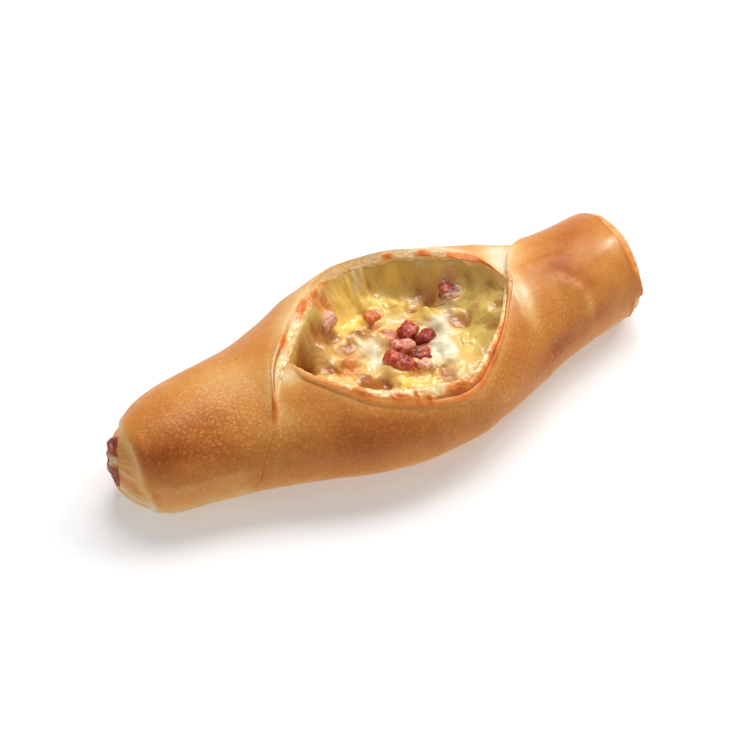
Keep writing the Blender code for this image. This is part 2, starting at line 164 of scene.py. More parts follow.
def isOpen(x):
    return (x >= roll["leftCorner"]) & (x <= roll["rightCorner"])


def farDrop(x):
    return np.where(isOpen(x), smooth(x, roll["farDrop"]), 0.0)


def lipLines(x):
    # angles of far outer, far inner, near inner and near outer line
    farEdge, nearEdge = smooth(x, roll["farLine"]), smooth(x, roll["nearLine"])
    farWide, nearWide = smooth(x, roll["farBand"]), smooth(x, roll["nearBand"])
    left, right = x < roll["leftCorner"], x > roll["rightCorner"]
    foot, heel = farEdge + farWide, nearEdge - nearWide
    leftGap = 3 + 9 * ramp(x, -55, roll["leftCorner"])
    rightGap = 3 + fall(x, roll["rightCorner"], 75)
    farOuter = np.where(right, heel - 2.0 - rightGap, farEdge)
    farInner = np.where(right, heel - 2.0, foot)
    nearInner = np.where(left, foot + 2.4, heel)
    nearOuter = np.where(left, foot + 2.4 + leftGap, nearEdge)
    return farOuter, farInner, nearInner, nearOuter


def stepHeight(x, side):
    return smooth(x, roll["leftStep"]) if side > 0 else smooth(x, roll["rightStep"])


def seamStep(x, angle):
    lines = lipLines(x)
    offset = 0.0
    for line, side in ((lines[0], 1), (lines[3], -1)):
        away = turn(angle - line) * side
        fade = np.exp(-np.abs(away) / roll["stepSpread"])
        offset = offset + stepHeight(x, side) * fade * np.where(away <= 0.01, 0.6, -0.4)
    return offset


def rimPlace(angle, left):
    if left:
        start, reach = roll["leftRim"]
        return start + reach * ramp(np.abs(turn(angle - 125.0)), 30, 90)
    start, reach = roll["rightRim"]
    wave = 0.5 * np.sin(np.radians(7 * angle)) + 0.4 * np.sin(np.radians(17 * angle + 40))
    return start + reach * ramp(turn(angle), 110, 170) + wave


def crust(x, angle, out=None, drop=0.0):
    # a point of the crust's outside, mm
    sizes = [smooth(x, roll["stations"], k) for k in range(1, 7)]
    nearHalf, farHalf, nearTop, farTop, shift, lift = sizes
    c, s = np.cos(np.radians(angle)), np.sin(np.radians(angle))
    top = np.where(c > 0, farTop, nearTop)
    middle = 0.45 * np.minimum(0.5 * (nearTop + farTop), 50)
    over = middle + (top - middle) * s
    under = middle - (middle + roll["baseSink"]) * np.abs(s) ** 0.85
    y = np.where(s > 0, c, np.sign(c) * np.abs(c) ** 0.85)
    z = np.where(s > 0, over, under)
    y = shift + y * np.where(c > 0, farHalf, nearHalf)
    if out is None:
        out = seamStep(x, angle)
    out = out - roll["rimInset"] * ramp(rimPlace(angle, True) - x, 0.2, 1.2)
    out = out - roll["rimInset"] * ramp(x - rimPlace(angle, False), 0.2, 1.2)
    y, z = y + out * c, z + out * s - drop
    z = np.maximum(z, 0.0) * (1 - lift / top) + lift
    return np.stack(np.broadcast_arrays(x, y, z), -1)


# the edges of the dough round the opening, mm
lip = {
    "rim": 0.7,                  # height of the rounded outer roll
    "rimShare": {"far": 0.36, "near": 0.44},   # how much of the edge it takes
    "groove": 0.55,              # depth of the line inside it
    "inner": 0.45,               # rounding of the inner layer
    "roundness": 0.7,            # height of a plain edge, where roll and line are missing
    # how much of them is missing: on the far edge rising from and to, on the near edge falling
    "farSmooth": (0.75, -38, -28),
    "nearSmooth": (0.92, -4, 16),
    "seamEnd": (-60, -54),       # where the far edge runs out into the left seam
    "nearEnd": (60, 66),         # where the near edge runs out over the right tube
    "points": 24,
}


def lipStrength(x, name):
    # 1 where the edge is open, 0 where it has run out
    if name == "far":
        return ramp(x, *lip["seamEnd"]) * fall(x, roll["rightCorner"] - 1.5, roll["rightCorner"] + 0.5)
    return ramp(x, roll["leftCorner"] - 0.5, roll["leftCorner"] + 1.5) * fall(x, *lip["nearEnd"])


def lipSharpness(x, name):
    # 1 where the edge has its roll and line, less where it is drawn smooth
    missing, start, end = lip[name + "Smooth"]
    return 1 - missing * (ramp if name == "far" else fall)(x, start, end)


def lipBand(x, name, s):
    # a point of an edge: s is 0 at the outer line and 1 at the inner one
    farOuter, farInner, nearInner, nearOuter = lipLines(x)
    far = name == "far"
    start, end = (farOuter, farInner) if far else (nearOuter, nearInner)
    high = stepHeight(x, 1 if far else -1)
    own, low = 0.6 * high, -0.4 * high * np.exp(-np.abs(end - start) / roll["stepSpread"])
    angle = start + (end - start) * s
    way = np.where(isOpen(x), s, ramp(s, 0.2, 1.0))
    base = np.where(high > 0, own + (low - own) * way, seamStep(x, angle))
    split = lip["rimShare"][name]
    sharp = lipSharpness(x, name)
    bulge = lip["rim"] * np.sin(np.pi * np.clip(s / split, 0, 1)) ** 0.9
    bulge = bulge + lip["inner"] * np.sin(np.pi * np.clip((s - split) / (1 - split), 0, 1)) ** 0.8
    bulge = sharp * (bulge - lip["groove"] * bell(s - split, 0.06))
    bulge = bulge + (1 - sharp) * lip["roundness"] * np.sin(np.pi * np.clip(s, 0, 1)) ** 1.1
    drop = farDrop(x) * s if far else 0.0
    return crust(x, angle, base + bulge * lipStrength(x, name), drop), angle


def cavityDepth(x):
    middle = 0.5 * (roll["leftCorner"] + roll["rightCorner"])
    half = 0.5 * (roll["rightCorner"] - roll["leftCorner"])
    u = np.minimum(np.abs((x - middle) / half), 1.0)
    return (1 - u**5) ** (1 / 2.2)


def cavityWall(x, phi):
    # a point of the cavity's wall: phi is 0 at the far lip, 90 degrees at the floor, 180 at the near lip
    _, farInner, nearInner, _ = lipLines(x)
    far = crust(x, farInner, None, farDrop(x))
    near = crust(x, nearInner)
    depth = cavityDepth(x)
    across = np.sign(np.cos(phi)) * np.abs(np.cos(phi)) ** (2 / roll["squareness"])
    down = np.abs(np.sin(phi)) ** (2 / roll["squareness"])
    share = 0.5 - 0.5 * across
    edge = far[..., 2] + (near[..., 2] - far[..., 2]) * share
    y = 0.5 * (far[..., 1] + near[..., 1]) + 0.5 * (far[..., 1] - near[..., 1]) * across
    z = edge - (edge - roll["cavityFloor"]) * depth * down
    closed = crust(x, farInner + (nearInner - farInner) * share)
    y = np.where(depth > 0, y, closed[..., 1])
    z = np.where(depth > 0, z, closed[..., 2])
    return np.stack(np.broadcast_arrays(x, y, z), -1)


def loftFaces(rings, around):
    i, k = np.meshgrid(np.arange(rings - 1), np.arange(around), indexing="ij")
    n = (k + 1) % around
    quads = np.stack((i * around + k, i * around + n, (i + 1) * around + n, (i + 1) * around + k), -1)
    ends = [list(range(around)), list(range((rings - 1) * around, rings * around))]
    return quads.reshape(-1, 4).tolist() + ends


def setField(mesh, key, values):
    layer = mesh.attributes.new(key, "FLOAT", "POINT")
    layer.data.foreach_set("value", np.asarray(values, np.float32).ravel())


def meshObject(name, rings, look, fields):
    # closed rings of points, in the roll's mm, as one object at the origin
    mesh = bpy.data.meshes.new(name)
    mesh.from_pydata(inFrame(rings).reshape(-1, 3).tolist(), [], loftFaces(*rings.shape[:2]))
    mesh.update()
    shape = bmesh.new()
    shape.from_mesh(mesh)
    bmesh.ops.recalc_face_normals(shape, faces=shape.faces[:])
    if shape.calc_volume(signed=True) < 0:
        bmesh.ops.reverse_faces(shape, faces=shape.faces[:])
    shape.to_mesh(mesh)
    shape.free()
    for key, values in fields.items():
        setField(mesh, key, values)
    mesh.shade_smooth()
    piece = bpy.data.objects.new(name, mesh)
    bpy.context.scene.collection.objects.link(piece)
    mesh.materials.append(look)
    return piece


def plainMesh(piece):
    # the piece's mesh as its modifiers leave it
    bpy.context.view_layer.update()
    return bpy.data.meshes.new_from_object(piece.evaluated_get(bpy.context.evaluated_depsgraph_get()))


def alongNormals(piece, amount):
    # moves each point of a mesh along its normal by an amount in mm
    mesh = piece.data
    count = len(mesh.vertices)
    place, normal = np.zeros(count * 3, np.float32), np.zeros(count * 3, np.float32)
    mesh.vertices.foreach_get("co", place)
    mesh.vertices.foreach_get("normal", normal)
    place += normal * np.repeat(np.asarray(amount, np.float32).ravel() * mm, 3)
    mesh.vertices.foreach_set("co", place)
    mesh.update()


def srgb(red, green, blue):
    def line(v):
        v /= 255
        return v / 12.92 if v <= 0.04045 else ((v + 0.055) / 1.055) ** 2.4
    return (line(red), line(green), line(blue), 1.0)


class Look:
    # a material under construction
    def __init__(self, name):
        self.material = bpy.data.materials.new(name)
        self.material.use_nodes = True
        self.tree = self.material.node_tree
        self.shader = self.tree.nodes["Principled BSDF"]
        self.place = self.node("ShaderNodeTexCoord").outputs["Object"]

    def node(self, kind, **settings):
        made = self.tree.nodes.new(kind)
        for key, value in settings.items():
            setattr(made, key, value)
        return made

    def link(self, source, target):
        self.tree.links.new(source, target)

    def into(self, socket, value):
        if isinstance(value, bpy.types.NodeSocket):
            self.link(value, socket)
        else:
            socket.default_value = value

    def attribute(self, name):
        return self.node("ShaderNodeAttribute", attribute_name=name).outputs["Fac"]

    def math(self, operation, a, b, c=None, clamp=False):
        made = self.node("ShaderNodeMath", operation=operation, use_clamp=clamp)
        self.into(made.inputs[0], a)
        self.into(made.inputs[1], b)
        if c is not None:
            self.into(made.inputs[2], c)
        return made.outputs[0]

    def noise(self, size, detail=3.0, rough=0.5, stretch=(1, 1, 1), warp=0.0):
        mapping = self.node("ShaderNodeMapping")
        mapping.inputs["Scale"].default_value = stretch
        self.link(self.place, mapping.inputs["Vector"])
        made = self.node("ShaderNodeTexNoise")
        made.inputs["Scale"].default_value = 1000.0 / size
        made.inputs["Detail"].default_value = detail
        made.inputs["Roughness"].default_value = rough
        made.inputs["Distortion"].default_value = warp
        self.link(mapping.outputs[0], made.inputs["Vector"])
        return made.outputs["Fac"]

    def mottled(self, value, size, amount, detail=3.0, rough=0.6):
        # a value made uneven by noise
        return self.math("MULTIPLY_ADD", self.noise(size, detail, rough), amount, value)

    def cells(self, size):
        made = self.node("ShaderNodeTexVoronoi")
        made.inputs["Scale"].default_value = 1000.0 / size
        self.link(self.place, made.inputs["Vector"])
        return made.outputs["Distance"]

    def ramp(self, value, stops):
        made = self.node("ShaderNodeValToRGB")
        elements = made.color_ramp.elements
        while len(elements) < len(stops):
            elements.new(0.5)
        for element, (place, colour) in zip(elements, stops):
            element.position = place
            element.color = colour
        self.into(made.inputs[0], value)
        return made.outputs[0]

    def range(self, value, low, high, toLow=0.0, toHigh=1.0):
        made = self.node("ShaderNodeMapRange")
        self.into(made.inputs["Value"], value)
        for key, number in (("From Min", low), ("From Max", high), ("To Min", toLow), ("To Max", toHigh)):
            made.inputs[key].default_value = number
        return made.outputs["Result"]

    def mix(self, share, a, b):
        made = self.node("ShaderNodeMix", data_type="RGBA")
        self.into(made.inputs["Factor"], share)
        self.into(made.inputs[6], a)
        self.into(made.inputs[7], b)
        return made.outputs[2]

    def bump(self, height, strength, distance, below=None):
        made = self.node("ShaderNodeBump")
        made.inputs["Strength"].default_value = strength
        made.inputs["Distance"].default_value = distance * mm
        self.into(made.inputs["Height"], height)
        if below is not None:
            self.link(below, made.inputs["Normal"])
        return made.outputs["Normal"]

    def done(self, colour, rough, normal=None, **fixed):
        self.into(self.shader.inputs["Base Color"], colour)
        self.into(self.shader.inputs["Roughness"], rough)
        if normal is not None:
            self.link(normal, self.shader.inputs["Normal"])
        for key, value in fixed.items():
            self.shader.inputs[key.replace("_", " ")].default_value = value
        return self.material


crustLook = {
    "pale": srgb(240, 222, 186),
    "straw": srgb(232, 182, 112),
    "gold": srgb(216, 142, 64),
    "amber": srgb(190, 108, 42),
    "brown": srgb(154, 74, 20),
    "dark": srgb(98, 42, 16),
    # darker colour painted along the groove of each lip: painted shade in the crease
    "groove": srgb(180, 92, 38),
    "film": srgb(253, 226, 164),
    "filmTan": srgb(242, 186, 112),
    # film colour in painted shade, for the lower cavity wall
    "filmInShade": srgb(170, 106, 44),
    "toasted": srgb(230, 132, 52),
    "charred": srgb(188, 88, 30),
    "shine": 1.1,                # coat where the crust is wet, at full strength
    "dryShine": 0.03,
}


def crustColour(look, bake):
    # pale dough to dark brown, broken up at three sizes
    bake = look.mottled(bake, 26, 0.24, rough=0.55)
    bake = look.mottled(bake, 6, 0.14, detail=4)
    bake = look.mottled(bake, 1.2, 0.26)
    return look.ramp(look.math("SUBTRACT", bake, 0.32), (
        (0.0, crustLook["pale"]), (0.22, crustLook["straw"]), (0.45, crustLook["gold"]),
        (0.66, crustLook["amber"]), (0.86, crustLook["brown"]), (1.0, crustLook["dark"]),
    ))


def bakedCrust():
    look = Look("bakedCrust")
    pimple = look.range(look.cells(1.6), 0.1, 0.52, 1.0, 0.0)
    pimple = look.math("MULTIPLY", pimple, look.range(look.noise(3.2, 3, 0.6), 0.3, 0.52))
    pimple = look.math("MULTIPLY", pimple, look.attribute("blister"), clamp=True)
    skin = crustColour(look, look.math("MULTIPLY_ADD", pimple, -0.25, look.attribute("bake")))
    # painted shade: the lip's groove, where the line field marks it
    skin = look.mix(look.attribute("line"), skin, crustLook["groove"])
    patch = look.noise(6, 4, 0.6, warp=0.5)
    film = look.mix(look.range(patch, 0.42, 0.66), crustLook["film"], crustLook["filmTan"])
    # painted shade: the film darker low on the cavity's wall
    film = look.mix(look.attribute("wallShade"), film, crustLook["filmInShade"])
    edge = look.mottled(look.attribute("film"), 2.6, 0.9)
    colour = look.mix(look.range(edge, 0.7, 1.1), skin, film)
    toast = look.mottled(look.attribute("toast"), 2.2, 1.1, rough=0.65)
    colour = look.mix(look.range(toast, 0.74, 1.2), colour, crustLook["toasted"])
    colour = look.mix(look.range(toast, 1.3, 2.1), colour, crustLook["charred"])
    wet = look.math("ADD", look.attribute("film"), look.attribute("gloss"), clamp=True)
    wet = look.math("MULTIPLY", wet, look.range(toast, 0.74, 1.2, 1.0, 0.3))
    wet = look.math("MULTIPLY", wet, look.range(look.noise(1.6, 3, 0.6), 0.3, 0.6, 0.4, 1.0))
    rough = look.range(look.noise(8, 3, 0.6), 0.3, 0.7, 0.38, 0.52)
    rough = look.math("MULTIPLY_ADD", wet, -0.2, rough)
    relief = look.bump(look.noise(2.6, 4, 0.6), 0.22, 0.5)
    relief = look.bump(pimple, 0.5, 0.22, relief)
    relief = look.bump(look.noise(0.8, 3, 0.6), 0.3, 0.14, relief)
    coat = look.math("MULTIPLY_ADD", wet, crustLook["shine"], crustLook["dryShine"], clamp=True)
    look.into(look.shader.inputs["Coat Weight"], coat)
    return look.done(
        colour, rough, relief,
        Subsurface_Weight=0.05, Subsurface_Radius=(0.004, 0.002, 0.001), Subsurface_Scale=0.5,
        Coat_Roughness=0.27, Specular_IOR_Level=0.24,
    )


def blisterSkin():
    look = Look("blisterSkin")
    colour = crustColour(look, look.math("SUBTRACT", look.attribute("bake"), 0.07))
    return look.done(colour, 0.42, Coat_Weight=0.08, Coat_Roughness=0.26, Specular_IOR_Level=0.3)


# brown and pale patches of the crust: place, angle, length and width in mm, strength; the pale ones at 61
# and 112 mm are partly paler dough and partly a painted highlight
bakeAndHighlightSpots = (
    (-101, 114, 13, 12, 0.09), (-108, 140, 8, 12, 0.06), (-102, 128, 11, 10, 0.21),
    (-90, 133, 14, 9, 0.12), (-78, 142, 12, 9, 0.07), (-87, 105, 14, 9, 0.10), (-98, 80, 12, 12, 0.12),
    (-82, 112, 10, 8, 0.08), (-66, 138, 10, 8, -0.08), (-46, 102, 6, 6, -0.36), (-53, 121, 4, 9, -0.20),
    (-76, 77, 16, 12, -0.05), (-63, 84, 12, 14, -0.12), (-60, 112, 9, 12, -0.06),
    (-48, 117, 12, 9, 0.05), (-50, 138, 14, 12, -0.06), (-14, 156, 22, 10, 0.12),
    (-32, 148, 16, 12, 0.06), (66, 71, 8, 10, -0.30), (62, 80, 6, 7, -0.20), (68, 58, 8, 9, -0.30),
    # the first two: paler dough with a painted highlight, on the ridge and on the right tube
    (61, 108, 4.5, 16, -0.42), (112, 108, 5, 9, -0.16), (82, 104, 8, 4, 0.12), (88, 118, 8, 4, 0.12),
    (93, 131, 6, 4, 0.12), (70, 165, 12, 8, 0.22), (94, 161, 7, 5, 0.14), (89, 150, 3, 10, -0.12),
    (100, 125, 9, 8, -0.08), (98, 76, 12, 12, 0.15), (86, 97, 7, 8, 0.12), (107, 56, 9, 8, 0.10),
    (39, 168, 9, 6, -0.12),
)

# blistered patches, in the same terms
blisterSpots = ((-82, 118, 24, 27, 1.1), (72, 150, 18, 18, 0.45))

# shining patches: place, mm round from glossLine, length and width in mm, strength
glossLine = 112
glossSpots = ((61, 0, 6, 10, 1.0), (112, -4, 6, 8, 1.1), (66, -26, 7, 9, 0.7), (84, 12, 10, 8, 0.4))


def addSpots(value, x, angle, spots):
    for place, where, length, width, strength in spots:
        away = turn(angle - where) * perDegree
        value = value + strength * bell(x - place, length) * bell(away, width)
    return value


crustTone = {
    "base": 0.50,                # 0 is pale dough, 0.5 golden, 1 dark
    "nearSide": 0.06,            # browner towards the near side
    "below": 0.24,               # paler towards the underside
    "farLip": (0.2, 16),         # paler beside each open lip, within so many degrees
    "nearLip": (0.22, 8),
    "farEdge": (0.13, 0.07, 9),  # paler along the far edge, more to the right, within degrees
    "tubeBelow": 0.14,           # paler under the left tube and the boat
    "leftRim": 0.26,             # pale line of the left rim
    "rightRim": 0.1,             # brown line of the right rim
    "leftFold": (0.24, 0.12),    # streaks of the folded-in dough, and how much paler it is
    "rightFold": (0.2, 0.14),
}


def crustBake(x, angle):
    # how brown the crust is at each place
    tone = crustTone
    bake = tone["base"] + tone["nearSide"] * ramp(angle, 100, 150) - tone["below"] * ramp(angle, 174, 208)
    farOuter, _, _, nearOuter = lipLines(x)
    opened = ramp(x, -50, -30) * fall(x, 50, 60)
    bake = bake - tone["farLip"][0] * opened * bell(turn(angle - farOuter), tone["farLip"][1])
    bake = bake - tone["nearLip"][0] * opened * bell(turn(angle - nearOuter + 3), tone["nearLip"][1])
    least, more, within = tone["farEdge"]
    pale = (least + more * ramp(x, 0, 25)) * ramp(x, -62, -54)
    bake = bake - pale * bell(turn(angle - farOuter - 5), within) * fall(x, 50, 59)
    bake = addSpots(bake, x, angle, bakeAndHighlightSpots)
    under = ramp(angle, 161, 165) * ramp(x, -112, -106) * fall(x, -76, -70)
    bake = bake - tone["tubeBelow"] * under
    around = np.stack(np.broadcast_arrays(0.15 * x, perDegree * angle, 0 * x), -1)
    streak = roughness(around, 3.2, 14)
    left, right = rimPlace(angle, True) - x, x - rimPlace(angle, False)
    bake = bake - tone["leftRim"] * bell(left - 1.2, 1.5) + tone["rightRim"] * bell(right - 0.2, 1.0)
    bake = bake + ramp(left, 1.6, 3.2) * (tone["leftFold"][0] * streak - tone["leftFold"][1])
    return bake + ramp(right, 0.4, 2.0) * (tone["rightFold"][0] * streak - tone["rightFold"][1])


# folds and creases of the crust: from place and angle to place and angle, half width and height in mm
creases = (
    (79, 98, 86, 114, 1.8, -0.6), (86, 114, 93, 133, 2.2, -0.4), (82, 121, 88, 134, 2.6, 0.55),
    (88, 134, 89, 174, 2.6, 0.4), (61, 160, 82, 168, 2.6, -0.6), (60, 92, 57, 128, 3.0, 0.9),
    (66, 84, 62, 60, 4.5, -0.7), (74, 150, 84, 128, 3.0, -0.5), (-108, 100, -112, 170, 1.6, 0.5),
    (-52, 150, -66, 172, 5.0, -0.5), (-33, 128, -37, 150, 3.5, -0.5), (104, 112, 113, 100, 3.0, 0.5),
)


def creaseHeight(x, angle):
    height = 0.0 * x * angle
    for x0, angle0, x1, angle1, width, rise in creases:
        px, py = x - x0, perDegree * turn(angle - angle0)
        dx, dy = x1 - x0, perDegree * (angle1 - angle0)
        t = np.clip((px * dx + py * dy) / (dx * dx + dy * dy), 0, 1)
        height = height + rise * bell(np.hypot(px - t * dx, py - t * dy), width)
    return height


def crustBlisters(x, angle):
    # where the crust's skin is blistered
    wall = 0.4 * ramp(x, -70, -50) * fall(x, 40, 60) * bell(turn(angle - 150) * perDegree, 22)
    return addSpots(0.0, x, angle, blisterSpots) + wall


def crustGloss(x, angle):
    # where the crust shines
    away = perDegree * turn(angle - glossLine)
    gloss = 0.0
    for place, across, length, width, strength in glossSpots:
        gloss = gloss + strength * bell(x - place, length) * bell(away - across, width)
    return gloss + 0.7 * bell(rimPlace(angle, True) - x - 1.2, 1.6) * bell(away - 10, 14)


# toasted places of each lip: place, share of the edge, length in mm, width share, strength
toastSpots = {
    "far": (
        (24, 0.9, 2.2, 0.5, 1.0), (38, 0.8, 2.6, 0.4, 1.0), (47, 0.95, 2.0, 0.4, 0.7),
        (55, 0.9, 6.0, 0.6, 1.2), (-23, 0.55, 4.0, 0.28, 0.9), (-15, 0.9, 3.0, 0.35, 1.1),
        (-7, 1.0, 2.5, 0.3, 0.7), (-39, 0.35, 2.5, 0.25, 1.0), (-56, 0.2, 2.6, 0.45, 1.4),
    ),
    "near": (
        (-22, 0.7, 2.8, 0.3, 1.1), (-9, 0.65, 3.2, 0.22, 1.2), (-2.5, 0.65, 1.0, 0.35, 1.1),
        (2, 0.5, 1.2, 0.3, 1.2), (15.5, 0.65, 5.0, 0.3, 1.3), (36, 0.5, 3.5, 0.4, 1.2),
        (27, 0.55, 3.0, 0.3, 0.8), (44, 0.6, 3.0, 0.4, 0.6), (-32, 0.8, 5.0, 0.3, 0.5),
    ),
}

breadMesh = {
    "outer": 90,                 # points round the outside
    "wall": 30,                  # points across the inner wall
    # sections along the roll: from, to, how many
    "spans": (
        (roll["leftTip"], -106, 36), (-106, -78, 44), (-78, -62, 34), (-62, -45, 40), (-45, -34, 34),
        (-34, -14, 44), (-14, 30, 96), (30, 50, 44), (50, 57, 20), (57, 62, 20), (62, 74, 26),
        (74, 96, 42), (96, 112, 24), (112, roll["rightTip"], 30),
    ),
    # the dough folded in at both ends: share of the way to the filling, and how far inwards in mm
    "tuck": ((0.10, -0.25), (0.22, -0.1), (0.36, 0.5), (0.5, 1.3), (0.64, 2.3), (0.76, 3.4)),
}


def breadRings():
    places = [np.linspace(low, high, count, endpoint=False) for low, high, count in breadMesh["spans"]]
    return np.concatenate(places + [[roll["rightTip"]]])[:, None]


def breadFields(x, angle, share, name):
    # what the crust's material needs at each point; share runs over an open edge, -1 elsewhere
    angle = np.where(angle > 270, angle - 360, angle)
    flat = np.zeros(np.broadcast(x, angle).shape)
    fields = {
        "bake": flat + crustBake(x, angle),
        "blister": flat + crustBlisters(x, angle) * ramp(angle, 20, 50),
        "gloss": flat + crustGloss(x, angle),
        "film": flat.copy(), "toast": flat.copy(), "line": flat.copy(), "wallShade": flat.copy(),
    }
    if name:
        strength = lipStrength(x, name)
        opened = ramp(x, roll["leftCorner"] - 15, roll["leftCorner"] - 4) * strength
        split = lip["rimShare"][name]
        wet = 0.1 + 0.7 * ramp(x, -36, -18) if name == "near" else 0.12 + 0.6 * fall(x, -20, -6)
        fields["film"] = flat + wet * opened * ramp(share, split, split + 0.3)
        fields["film"] += 0.2 * strength * ramp(share, split, 1)
        for place, middle, length, width, amount in toastSpots[name]:
            fields["toast"] += amount * bell(x - place, length) * bell(share - middle, width)
        fields["toast"] += 0.12 * opened * bell(share - 0.65, 0.25) - 0.35 * (1 - strength)
        if name == "near":
            fields["toast"] += 0.42 * strength * bell(share - 0.2, 0.35)
        # the line field marks the groove of the edge for its painted shade
        depth = (0.6 + 0.35 * fall(x, -44, -36)) * strength * lipSharpness(x, name)
        fields["line"] = flat + depth * bell(share - split, 0.06)
        fields["blister"] *= 1 - strength
        fields["gloss"] += 0.4 * strength * lipSharpness(x, name)
    else:
        edge = bell(x - rimPlace(angle, False) - 0.4, 1.5) * ramp(angle, 86, 108)
        fields["toast"] += 1.15 * edge - 0.35
    return fields


def makeBread(look):
    x = breadRings()
    farOuter, farInner, nearInner, nearOuter = lipLines(x)
    # each ring: the outside, the far edge, the wall of the cavity and the near edge
    t = np.linspace(0, 1, breadMesh["outer"])[None, :]
    t = t - 0.6 * np.sin(2 * np.pi * t) / (2 * np.pi)
    angle = nearOuter + (farOuter + 360 - nearOuter) * t
    s = np.linspace(0, 1, lip["points"] + 2)[None, 1:-1]
    farBand, farAngle = lipBand(x, "far", s)
    nearBand, nearAngle = lipBand(x, "near", 1 - s)
    u = np.linspace(0, 1, breadMesh["wall"])[None, :]
    phi = np.pi * (0.5 - 0.5 * np.cos(np.pi * u))
    wallAngle = farInner + (nearInner - farInner) * (0.5 - 0.5 * np.cos(phi))
    wall = cavityWall(x, phi)
    ring = np.concatenate((crust(x, angle), farBand, wall, nearBand), 1)

    parts = (
        breadFields(x, angle, -1, None), breadFields(x, farAngle, s, "far"),
        breadFields(x, wallAngle, -1, None), breadFields(x, nearAngle, 1 - s, "near"),
    )
    # the inner wall: the greasy film over its crumb, and painted shade that darkens it low down
    parts[2]["film"] += isOpen(x) * 1.2      # the inner wall is crumb, greasy and dark low down
    # painted shade: darker the lower the wall lies, most on its left part
    shade = 0.2 * ramp(38 - wall[..., 2], 0, 12)
    parts[2]["wallShade"] += fall(x, -26, -4) * ramp(41 - wall[..., 2], 1, 8) + shade
    fields = {key: np.concatenate([part[key] for part in parts], 1) for key in parts[0]}
    angles = [np.broadcast_to(a, (len(x), a.shape[1])) for a in (angle, farAngle, wallAngle, nearAngle)]
    allRound = np.concatenate(angles, 1)
    fold = creaseHeight(x, np.where(allRound > 270, allRound - 360, allRound))

    # the dough folded in towards the filling at both ends
    caps = []
    for row, sign in ((0, 1), (-1, -1)):
        shift, height, halfWide, halfHigh = (float(smooth(x[row], roll["core"], k)[0]) for k in range(1, 5))
        edge = ring[row]
        a = np.arctan2(edge[:, 2] - height, edge[:, 1] - shift)
        middle = np.stack((edge[:, 0], shift + halfWide * np.cos(a), height + halfHigh * np.sin(a)), -1)
        rows = []
        for share, inwards in breadMesh["tuck"]:
            made = edge + (middle - edge) * share
            made[:, 0] += sign * inwards
            rows.append(made)
        caps.append(np.array(rows))

    def padded(field):
        # the first and last ring's values go on over the ends
        more = len(breadMesh["tuck"])
        first, last = np.repeat(field[:1], more, 0), np.repeat(field[-1:], more, 0)
        return np.concatenate((first, field, last)).ravel()

    ring = np.concatenate((caps[0][::-1], ring, caps[1]), 0)
    fields = {key: padded(field) for key, field in fields.items()}
    bread = meshObject("breadRoll", ring, look, fields)
    points = ring.reshape(-1, 3)
    ground = ramp(points[:, 2], 1.0, 6.0)
    film = np.clip(1.6 * fields["film"], 0, 1) * (1 - 0.7 * np.clip(fields["wallShade"], 0, 1))
    amount = 0.32 * roughness(points, 17, 3) + 0.14 * roughness(points, 5, 5) + padded(fold)
    crumb = 0.45 * roughness(points, 3.2, 8) + 0.3 * roughness(points, 1.5, 9)
    toast = 0.5 * np.clip(fields["toast"], 0, 1)
    alongNormals(bread, ground * (amount * (1 - 0.6 * film) + film * crumb + toast))
    return bread


